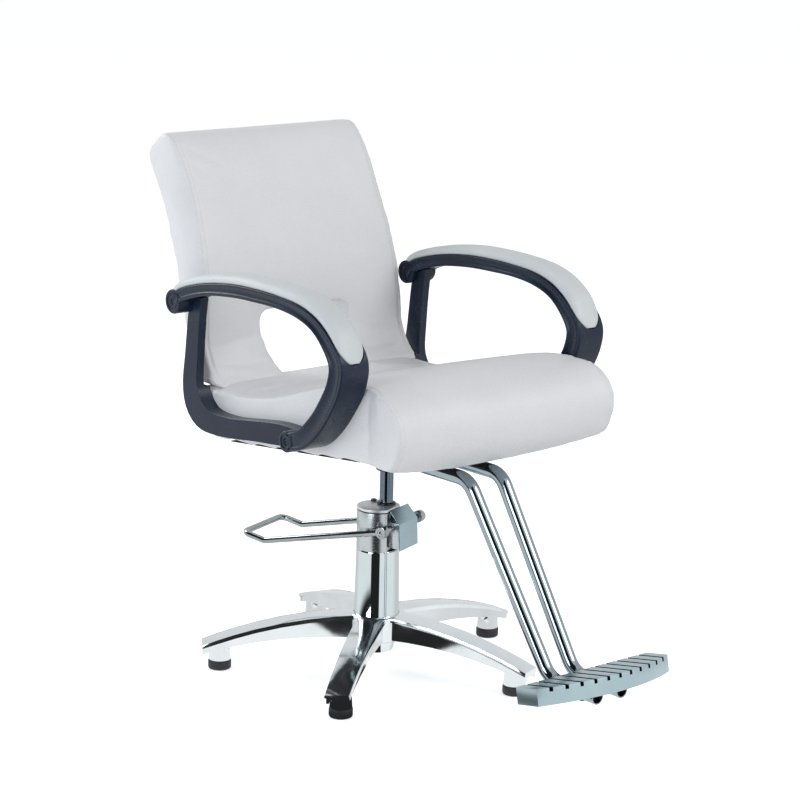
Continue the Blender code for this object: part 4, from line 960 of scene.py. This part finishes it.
seat_cloth = coated_cloth("coated_cloth", (0.80, 0.80, 0.815), (0.66, 0.67, 0.685))
thread = Finish("seam_thread", (0.70, 0.71, 0.72), 0.7)
twist = thread.group(brushed_lines, Place=thread.stretched((900, 900, 900)), Line_Scale=1.0)
thread.tint(twist["Mask"], (0.56, 0.57, 0.58), (0.76, 0.77, 0.78))

SEAM_INSET = 0.010
seat_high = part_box("seat_cushion")[1]
back_low, back_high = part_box("back_cushion")
arm_low, arm_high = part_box("arm_front_right")
SEAT_WAIST = 0.2395
WAIST_FRONT = arm_low.y - 0.003
WAIST_RUN = 0.030
BACK_TAPER = ((0.620, back_high.x), (0.830, 0.218))


def seat_half(point):
    """Half width of the seat: narrow between the arms, full ahead of them."""
    share = min(max((WAIST_FRONT - point.y) / WAIST_RUN, 0), 1)
    return SEAT_WAIST + (seat_high.x - SEAT_WAIST) * share


def back_half(point):
    """Half width of the back, narrower towards its top."""
    (low, wide), (high, narrow) = BACK_TAPER
    share = min(max((point.z - low) / (high - low), 0), 1)
    return wide + (narrow - wide) * share


def welded(node):
    bm = bmesh.new()
    bm.from_mesh(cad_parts[node].data)
    bmesh.ops.remove_doubles(bm, verts=bm.verts, dist=2e-5)
    return bm


def slice_loop(node, x):
    """Outline of a CAD solid where the plane at x cuts it, as an ordered loop."""
    bm = welded(node)
    cut = bmesh.ops.bisect_plane(bm, geom=bm.verts[:] + bm.edges[:] + bm.faces[:],
                                 plane_co=(x, 0, 0), plane_no=(1, 0, 0))["geom_cut"]
    edges = {e for e in cut if isinstance(e, bmesh.types.BMEdge)}
    loops = []
    while edges:
        edge = edges.pop()
        loop = [edge.verts[0], edge.verts[1]]
        while True:
            onward = [e for e in loop[-1].link_edges if e in edges]
            if not onward:
                break
            edges.discard(onward[0])
            loop.append(onward[0].other_vert(loop[-1]))
        loops.append([v.co.copy() for v in loop])
    bm.free()
    return max(loops, key=lambda line: sum((a - b).length for a, b in zip(line, line[1:])))


def evenly(line, pitch):
    """Points at an even pitch along a line."""
    points, spare = [line[0]], 0.0
    for a, b in zip(line, line[1:]):
        length = (b - a).length
        at = pitch - spare
        while at <= length:
            points.append(a.lerp(b, at / length))
            at += pitch
        spare = length - (at - pitch)
    return points


def side_seams(node, probe_x, half, keep):
    """Seam line of both side panels, a little way in from the sides."""
    seams = []
    for side in (-1, 1):
        loop = evenly(slice_loop(node, side * probe_x), 0.003)
        loop = [Vector((side * (half(p) - SEAM_INSET), p.y, p.z)) for p in loop]
        runs, run = [], []
        for p in loop + loop[:1]:
            if keep(p):
                run.append(p)
            elif run:
                runs.append(run)
                run = []
        if run:
            runs.append(run)
        if len(runs) > 1 and (runs[0][0] - runs[-1][-1]).length < 0.01:
            runs[0] = runs.pop() + runs[0]
        seams += [r for r in runs if len(r) > 12]
    return seams


BLOW_FRAMES = 20


def stuffed(name, node, seams, pinned, voxel, puff, pressure):
    """Padded shape: remeshed, blown up as cloth between pinned seams, capped, smoothed."""
    bm = welded(node)
    mesh = bpy.data.meshes.new(name)
    bm.to_mesh(mesh)
    bm.free()
    piece = link(name, mesh)
    remesh = piece.modifiers.new("even_mesh", "REMESH")
    remesh.mode, remesh.voxel_size = "VOXEL", voxel
    bpy.context.view_layer.update()
    ready = piece.evaluated_get(bpy.context.evaluated_depsgraph_get())
    mesh = bpy.data.meshes.new_from_object(ready)
    piece.modifiers.clear()
    piece.data = mesh
    ease = bmesh.new()
    ease.from_mesh(mesh)
    for _ in range(4):
        bmesh.ops.smooth_vert(ease, verts=ease.verts, factor=0.5, use_axis_x=True,
                              use_axis_y=True, use_axis_z=True)
    ease.to_mesh(mesh)
    ease.free()
    tree = KDTree(sum(len(s) for s in seams))
    for k, point in enumerate(p for s in seams for p in s):
        tree.insert(point, k)
    tree.balance()
    rest = [v.co.copy() for v in mesh.vertices]
    away = [tree.find(p)[2] for p in rest]
    hold = [1.0 if pinned(p) else max(0.0, 1 - d / (voxel * 1.3)) for p, d in zip(rest, away)]
    group = piece.vertex_groups.new(name="held")
    for k, weight in enumerate(hold):
        if weight > 0:
            group.add([k], min(1.0, weight * 1.4), "REPLACE")
    cloth = piece.modifiers.new("blown", "CLOTH")
    cloth.settings.quality = 4
    cloth.settings.mass = 0.3
    cloth.settings.tension_stiffness = cloth.settings.compression_stiffness = 12
    cloth.settings.bending_stiffness = 1.2
    cloth.settings.use_pressure = True
    cloth.settings.uniform_pressure_force = pressure
    cloth.settings.effector_weights.gravity = 0
    cloth.settings.vertex_group_mass = "held"
    cloth.collision_settings.use_collision = False
    cloth.point_cache.frame_end = BLOW_FRAMES
    for number in range(1, BLOW_FRAMES + 1):
        scene.frame_set(number)
    ready = piece.evaluated_get(bpy.context.evaluated_depsgraph_get())
    blown = [v.co.copy() for v in ready.data.vertices]
    piece.modifiers.clear()
    scene.frame_set(1)
    for vertex, start, end, weight in zip(mesh.vertices, rest, blown, hold):
        move = (end - start) * (1 - weight)
        if move.length > puff:
            move *= puff / move.length
        vertex.co = start + move
    fine = piece.modifiers.new("finer", "SUBSURF")
    fine.levels = fine.render_levels = 1
    bpy.context.view_layer.update()
    ready = piece.evaluated_get(bpy.context.evaluated_depsgraph_get())
    mesh = bpy.data.meshes.new_from_object(ready)
    piece.modifiers.clear()
    piece.data = mesh
    mesh.name = name
    return piece, tree


SEAM_DEPTH = 0.0022
SEAM_WIDTH = 0.0034
PUCKER_DEPTH = 0.0007
PUCKER_PITCH = 0.013
SLOW_WAVE = 0.0007


def tuck_seams(piece, tree, pinned):
    """Press the seams in, with small puckers beside them, and break the surface slightly."""
    mesh = piece.data
    normals = [v.normal.copy() for v in mesh.vertices]
    for vertex, normal in zip(mesh.vertices, normals):
        point = vertex.co.copy()
        if pinned(point):
            continue
        near, _, away = tree.find(point)
        dip = SEAM_DEPTH * math.exp(-(away / SEAM_WIDTH) ** 2)
        pull = math.exp(-(away / 0.016) ** 2) * PUCKER_DEPTH
        ripple = noise.noise((near * (1 / PUCKER_PITCH)) + Vector((0, 0, 7.3)))
        slow = noise.noise(point * 9.0) * SLOW_WAVE
        vertex.co = point - normal * (dip - pull * ripple - slow)
    mesh.shade_smooth()


def build_stitch_tree(material):
    """Thread stitches along a line: even pitch, laid along the line, set into the cloth."""
    tree, given, result = geometry_tree("stitch_row", (
        ("Pitch", "NodeSocketFloat", 0.0045), ("Stitch Length", "NodeSocketFloat", 0.0031),
        ("Thread Radius", "NodeSocketFloat", 0.00045)))
    line = set_in(tree, "line", "GeometryNodeMeshToCurve", Mesh=given.outputs["Geometry"])
    spaced = tree.nodes.new("GeometryNodeResampleCurve")
    spaced.mode = "LENGTH"
    tree.links.new(line.outputs[0], spaced.inputs["Curve"])
    tree.links.new(given.outputs["Pitch"], spaced.inputs["Length"])
    stitch = set_in(tree, "stitch", "GeometryNodeMeshUVSphere", Segments=6, Rings=4, Radius=1.0)
    along = tree.nodes.new("GeometryNodeInputTangent")
    turned_to = tree.nodes.new("FunctionNodeAlignRotationToVector")
    turned_to.axis = "Z"
    tree.links.new(along.outputs[0], turned_to.inputs["Vector"])
    size = tree.nodes.new("ShaderNodeCombineXYZ")
    half = tree.nodes.new("ShaderNodeMath")
    half.operation = "MULTIPLY"
    half.inputs[1].default_value = 0.5
    tree.links.new(given.outputs["Stitch Length"], half.inputs[0])
    for k, source in enumerate((given.outputs["Thread Radius"], given.outputs["Thread Radius"],
                                half.outputs[0])):
        tree.links.new(source, size.inputs[k])
    laid = set_in(tree, "laid", "GeometryNodeInstanceOnPoints", Points=spaced.outputs[0],
                  Instance=stitch.outputs["Mesh"], Rotation=turned_to.outputs[0],
                  Scale=size.outputs[0])
    finish_tree(tree, result, laid.outputs[0], material)
    return tree


stitch_tree = build_stitch_tree(thread.material)


STITCH_SHIFT = 0.0042           # from the seam to each row of stitches


def topstitch(name, piece, seams, body):
    """Rows of stitches beside each seam, laid on the finished surface."""
    surface = BVHTree.FromPolygons([v.co for v in piece.data.vertices],
                                   [tuple(p.vertices) for p in piece.data.polygons])
    points, edges = [], []
    for seam in seams:
        for shift in (-STITCH_SHIFT, STITCH_SHIFT):
            side = 1 if seam[0].x > 0 else -1
            first = len(points)
            for p in evenly(seam, 0.006):
                on, normal, _, _ = surface.find_nearest(p - Vector((side * shift, 0, 0)))
                points.append(on + normal * 0.0001)
            edges += [(k, k + 1) for k in range(first, len(points) - 1)]
    mesh = bpy.data.meshes.new(name + "_line")
    mesh.from_pydata([tuple(p) for p in points], edges, [])
    rows = grow(name, mesh, stitch_tree)
    settle(rows, thread, body, "coated_fabric")


board_low, board_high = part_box("seat_board")
BOARD = 0.015
POCKET_WIDTH = 0.2325
POCKET_MARGIN = 0.010           # how far above the board the foam stays as cut
RAIL_DEPTH = 0.032              # how far the pocket goes up over the side rails
RAIL_INSIDE = 0.2
RAIL_START = 0.036


def under_seat(p):
    """The pocket for the board and rails, which stays as cut."""
    rake = (board_high.z - board_low.z - BOARD) / (board_high.y - board_low.y)
    pocket_top = board_high.z + POCKET_MARGIN - (p.y - board_low.y) * rake
    if abs(p.x) >= POCKET_WIDTH or p.y <= board_low.y - 0.003 or p.z >= pocket_top + RAIL_DEPTH:
        return False
    return p.z < pocket_top or (abs(p.x) > RAIL_INSIDE and p.y > RAIL_START)


seat_seams = side_seams("seat_cushion", 0.2335, seat_half, lambda p: p.y < 0.236
                        and (p.z > 0.455 - 0.10 * p.y or p.y < board_low.y - 0.012))
CUSHION_MESH = 0.006
seat_pad, seat_tree = stuffed("seat_upholstery", "seat_cushion", seat_seams, under_seat,
                              CUSHION_MESH, puff=0.007, pressure=2.2)
tuck_seams(seat_pad, seat_tree, under_seat)
settle(seat_pad, seat_cloth, "seat", "coated_fabric", "seat_cushion")
topstitch("seat_stitches", seat_pad, seat_seams, "seat")


def under_back(p):
    """The feet of the back, which stand on the seat."""
    return p.z < back_low.z + 0.004


back_seams = side_seams("back_cushion", 0.2, back_half, lambda p: p.z > back_low.z + 0.006)
back_pad, back_tree = stuffed("back_upholstery", "back_cushion", back_seams, under_back,
                              CUSHION_MESH, puff=0.006, pressure=2.0)
tuck_seams(back_pad, back_tree, under_back)
settle(back_pad, seat_cloth, "seat", "coated_fabric", "back_cushion")
topstitch("back_stitches", back_pad, back_seams, "seat")


# ==== arms ================================================================================
# A looped arm on each side in near-black moulded plastic over a steel core: a front piece
# rolled at both ends, and a slimmer post behind it that runs on along the seat, where two
# bolts hold it to the rail. A padded rest lies in a bed on the front piece.
moulding = Finish("arm_moulding", (0.012, 0.018, 0.028), 0.3)
rubbed = moulding.group(handling_wear, Place=moulding.place, Smear_Scale=12.0,
                        Scuff_Scale=260.0)
settled = moulding.group(settled_dust, Place=moulding.place, Amount=0.12)
moulding.tint(calc(moulding.tree, "MAXIMUM", rubbed["Mask"], settled["Mask"]),
              (0.008, 0.016, 0.034), (0.022, 0.038, 0.070))
moulding.shader.inputs["Specular IOR Level"].default_value = 0.28
moulding.rough(rubbed["Mask"], 0.26, 0.36)
moulding.relief(noise_node(moulding.tree, moulding.place, 2100.0, 3.0, 0.6), 0.00006, 0.6)

# Side view of the front piece from its rear roll to its lower one: y, z, half thickness.
ARM_LINE = ((0.244, 0.666, 0.012), (0.215, 0.684, 0.0112), (0.150, 0.7015, 0.0108),
            (0.072, 0.7115, 0.0115), (0.000, 0.7135, 0.0115), (-0.060, 0.7118, 0.0110),
            (-0.115, 0.7050, 0.0120), (-0.160, 0.6890, 0.0130), (-0.195, 0.6610, 0.0150),
            (-0.2165, 0.6300, 0.0180), (-0.2125, 0.5960, 0.0180), (-0.195, 0.562, 0.0180),
            (-0.165, 0.5220, 0.0178), (-0.125, 0.4880, 0.0170), (-0.085, 0.4760, 0.0150))
ROLLS = (("rear", 0.244, 0.666, 0.022), ("lower", -0.086, 0.4765, 0.0185))
ARM_HALF = (arm_high.x - arm_low.x) / 2
ARM_EDGE = 0.0028               # rounding of the long edges
RIM_WIDTH = 0.0034
SIDE_DISH = 0.0016
PAD_HALF = 0.0272
PAD_CROWN = 0.0155
PAD_TIP_CROWN = 0.0012
PAD_TIP_HEIGHT = 0.627          # the lowest point of the pad's rounded tip
PAD_REAR = 0.236
TIP_LENGTH = 0.026
BED_DEPTH = 0.0050
BED_RUN = 0.045                 # length over which the bed sinks in
BED_START = 0.3
BED_SEAT = 0.0004               # the pad's base stands this much off its bed
TIP_SQUARENESS = 2.0
REAR_ROUNDING = 0.007
DOME_SIDE, DOME_TOP = 0.62, 0.72
PAD_CLEARANCE = 0.0006


def smooth_line(points, spans):
    """Points of a smooth curve through the given ones."""
    points = [Vector(p) for p in points]
    padded = [points[0] * 2 - points[1], *points, points[-1] * 2 - points[-2]]
    curve = []
    for a, b, c, d in zip(padded, padded[1:], padded[2:], padded[3:]):
        for k in range(spans):
            t = k / spans
            curve.append(0.5 * ((2 * b) + (c - a) * t + (2 * a - 5 * b + 4 * c - d) * t * t
                                + (3 * b - a - 3 * c + d) * t ** 3))
    return curve + [points[-1]]


def eased(value, low, high):
    share = min(max((value - low) / (high - low), 0.0), 1.0)
    return share * share * (3 - 2 * share)


class ArmLine:
    """Stations along the arm: place, outward normal, half thickness and length so far."""

    def __init__(self, pitch):
        curve = evenly(smooth_line(ARM_LINE, 24), pitch)
        self.stations = []
        for k, point in enumerate(curve):
            before, after = curve[max(k - 1, 0)], curve[min(k + 1, len(curve) - 1)]
            ahead = (after - before).to_2d().normalized()
            self.stations.append((point.to_2d(), Vector((ahead.y, -ahead.x)), point.z,
                                  k * pitch))
        front = [s for s in self.stations if s[0].x < 0]
        self.tip = min(front, key=lambda s: abs(s[0].y - PAD_TIP_HEIGHT)
                       + (1 if s[0].x > -0.17 else 0))[3]
        self.rear = min(self.stations, key=lambda s: abs(s[0].x - PAD_REAR))[3]

    def bed(self, length, half):
        """Half width of the pad's outline at a length along the arm; none past the tip."""
        left = self.tip - length
        if left <= 0:
            return 0.0
        if left >= TIP_LENGTH:
            return half
        return half * (1 - (1 - left / TIP_LENGTH) ** TIP_SQUARENESS) ** (1 / TIP_SQUARENESS)

    def sink(self, length):
        """How deep the pad's bed is let into the face."""
        return BED_DEPTH * eased(length, self.tip - BED_RUN, self.tip - BED_START * BED_RUN)


def front_section(line, length, thick):
    """Outline across the front piece: rims down both dished sides, bed for the pad."""
    w, e = ARM_HALF, ARM_EDGE
    bed = line.bed(length, PAD_HALF + PAD_CLEARANCE)
    drop = line.sink(length)
    face = [(u, thick) for u in (w - e - (w - e - bed) * (1 - (1 - k / 7) ** 2) * 0.999
                                 for k in range(1, 7))]
    wall = [(bed + min(0.0009, bed * 0.05), thick - drop * 0.12), (bed, thick - drop * 0.5)]
    floor_of_bed = [(bed * (1 - k / 6), thick - (drop if bed else 0)) for k in range(7)]
    if not bed:
        wall = [(0, thick), (0, thick)]
    half = [(w - SIDE_DISH, 0.0), (w - SIDE_DISH, thick - e - RIM_WIDTH - 0.0006),
            (w, thick - e - RIM_WIDTH + 0.0004)]
    half += [(w - e + e * math.cos(a), thick - e + e * math.sin(a))
             for a in (k * math.pi / 8 for k in range(5))]
    half += face + wall + floor_of_bed
    back = [(w - e + e * math.cos(a), -(thick - e) - e * math.sin(a))
            for a in (k * math.pi / 8 for k in range(5))]
    under = [(w - SIDE_DISH, -(thick - e - RIM_WIDTH - 0.0006)),
             (w, -(thick - e - RIM_WIDTH + 0.0004))] + back + [(0.0, -thick)]
    right = under[::-1] + half
    return right + [(-u, v) for u, v in right[::-1]]


def swept_section(name, centre_x, stations, section):
    """Closed solid through an outline at each station of the arm."""
    bm = bmesh.new()
    rings = []
    for place, out, thick, length in stations:
        rings.append([bm.verts.new((centre_x + u, place.x + out.x * v + swivel.y,
                                    place.y + out.y * v))
                      for u, v in section(length, thick)])
    for low, high in zip(rings, rings[1:]):
        for k in range(len(low)):
            n = (k + 1) % len(low)
            bm.faces.new((low[k], low[n], high[n], high[k]))
    bm.faces.new(rings[0])
    bm.faces.new(rings[-1][::-1])
    bmesh.ops.remove_doubles(bm, verts=bm.verts, dist=2e-6)
    bmesh.ops.recalc_face_normals(bm, faces=bm.faces)
    mesh = bpy.data.meshes.new(name)
    bm.to_mesh(mesh)
    bm.free()
    mesh.shade_smooth()
    return link(name, mesh)


def roll_profile(radius, width):
    """End roll: rounded rims, a shallow dish in each end and a small well in the dish."""
    end = [(0.0, -0.0042), (0.0052, -0.0042), (0.0060, -0.0036), (0.0066, -0.0020),
           (radius - ARM_EDGE - RIM_WIDTH - 0.0006, -SIDE_DISH),
           (radius - ARM_EDGE - RIM_WIDTH + 0.0004, 0.0)]
    end += [(radius - ARM_EDGE + ARM_EDGE * math.sin(a), -ARM_EDGE + ARM_EDGE * math.cos(a))
            for a in (k * math.pi / 8 for k in range(5))]
    return [(r, -v) for r, v in end] + [(r, width + v) for r, v in end[::-1]]


def pad_section(line):
    """Outline across the armrest pad: domed over a flat base, thin at its tip."""
    def outline(length, thick):
        half = line.bed(length, PAD_HALF)
        near_tip = eased(line.tip - length, 0.0, 2.2 * TIP_LENGTH)
        from_rear = min(max((length - line.rear) / REAR_ROUNDING, 0.0), 1.0)
        crown = (PAD_TIP_CROWN + (PAD_CROWN - PAD_TIP_CROWN) * near_tip) \
            * (0.35 + 0.65 * math.sqrt(1 - (1 - from_rear) ** 2))
        base = thick - line.sink(length) + BED_SEAT
        height = thick + crown - base
        turns = [math.pi * k / 24 for k in range(25)]
        dome = [(half * math.copysign(abs(math.cos(t)) ** DOME_SIDE, math.cos(t)),
                 base + height * math.sin(t) ** DOME_TOP) for t in turns]
        return dome + [(-half * 0.5, base), (0, base), (half * 0.5, base)]
    return outline


# The rests' cloth is a darker, greener copy of the seat's white coated cloth: painted shade on the
# pads.
rest_cloth = coated_cloth("rest_cloth", (0.68, 0.715, 0.725), (0.55, 0.585, 0.60), 800.0)
STATION_PITCH = 0.0022
arm_line = ArmLine(STATION_PITCH)
for side, hand in ((-1, "left"), (1, "right")):
    edge_low, edge_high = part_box(f"arm_front_{hand}")
    centre_x = (edge_low.x + edge_high.x) / 2
    settle(swept_section(f"arm_loop_{hand}", centre_x, arm_line.stations,
                         lambda length, thick: front_section(arm_line, length, thick)),
           moulding, "seat", "arm_moulding", f"arm_front_{hand}")
    for label, y, z, radius in ROLLS:
        start = Vector((edge_low.x, y + swivel.y, z))
        settle(lying_turned(f"arm_roll_{label}_{hand}",
                            roll_profile(radius, edge_high.x - edge_low.x), start, (1, 0, 0),
                            64), moulding, "seat", "arm_moulding")
        outer_x = edge_high.x if side > 0 else edge_low.x
        settle(lying_turned(f"arm_roll_screw_{label}_{hand}",
                            [(0, 0), (0.0044, 0), *rounded(0.0044, 0.0016, 0.0006)[::-1],
                             (0.0024, 0.0016), (0.0021, 0.0006), (0, 0.0006)],
                            Vector((outer_x - side * 0.0036, y + swivel.y, z)),
                            (side, 0, 0), 24), moulding, "seat", "arm_moulding")
    settle(fair_copy(f"arm_post_{hand}", f"arm_upright_{hand}", 0.0060, fold=42, segments=1),
           moulding, "seat", "arm_moulding", f"arm_post_{hand}")
    rest = swept_section(f"arm_rest_{hand}", centre_x,
                         [s for s in arm_line.stations
                          if arm_line.rear <= s[3] < arm_line.tip - 0.0002],
                         pad_section(arm_line))
    settle(rest, rest_cloth, "seat", "coated_fabric", f"arm_pad_{hand}")
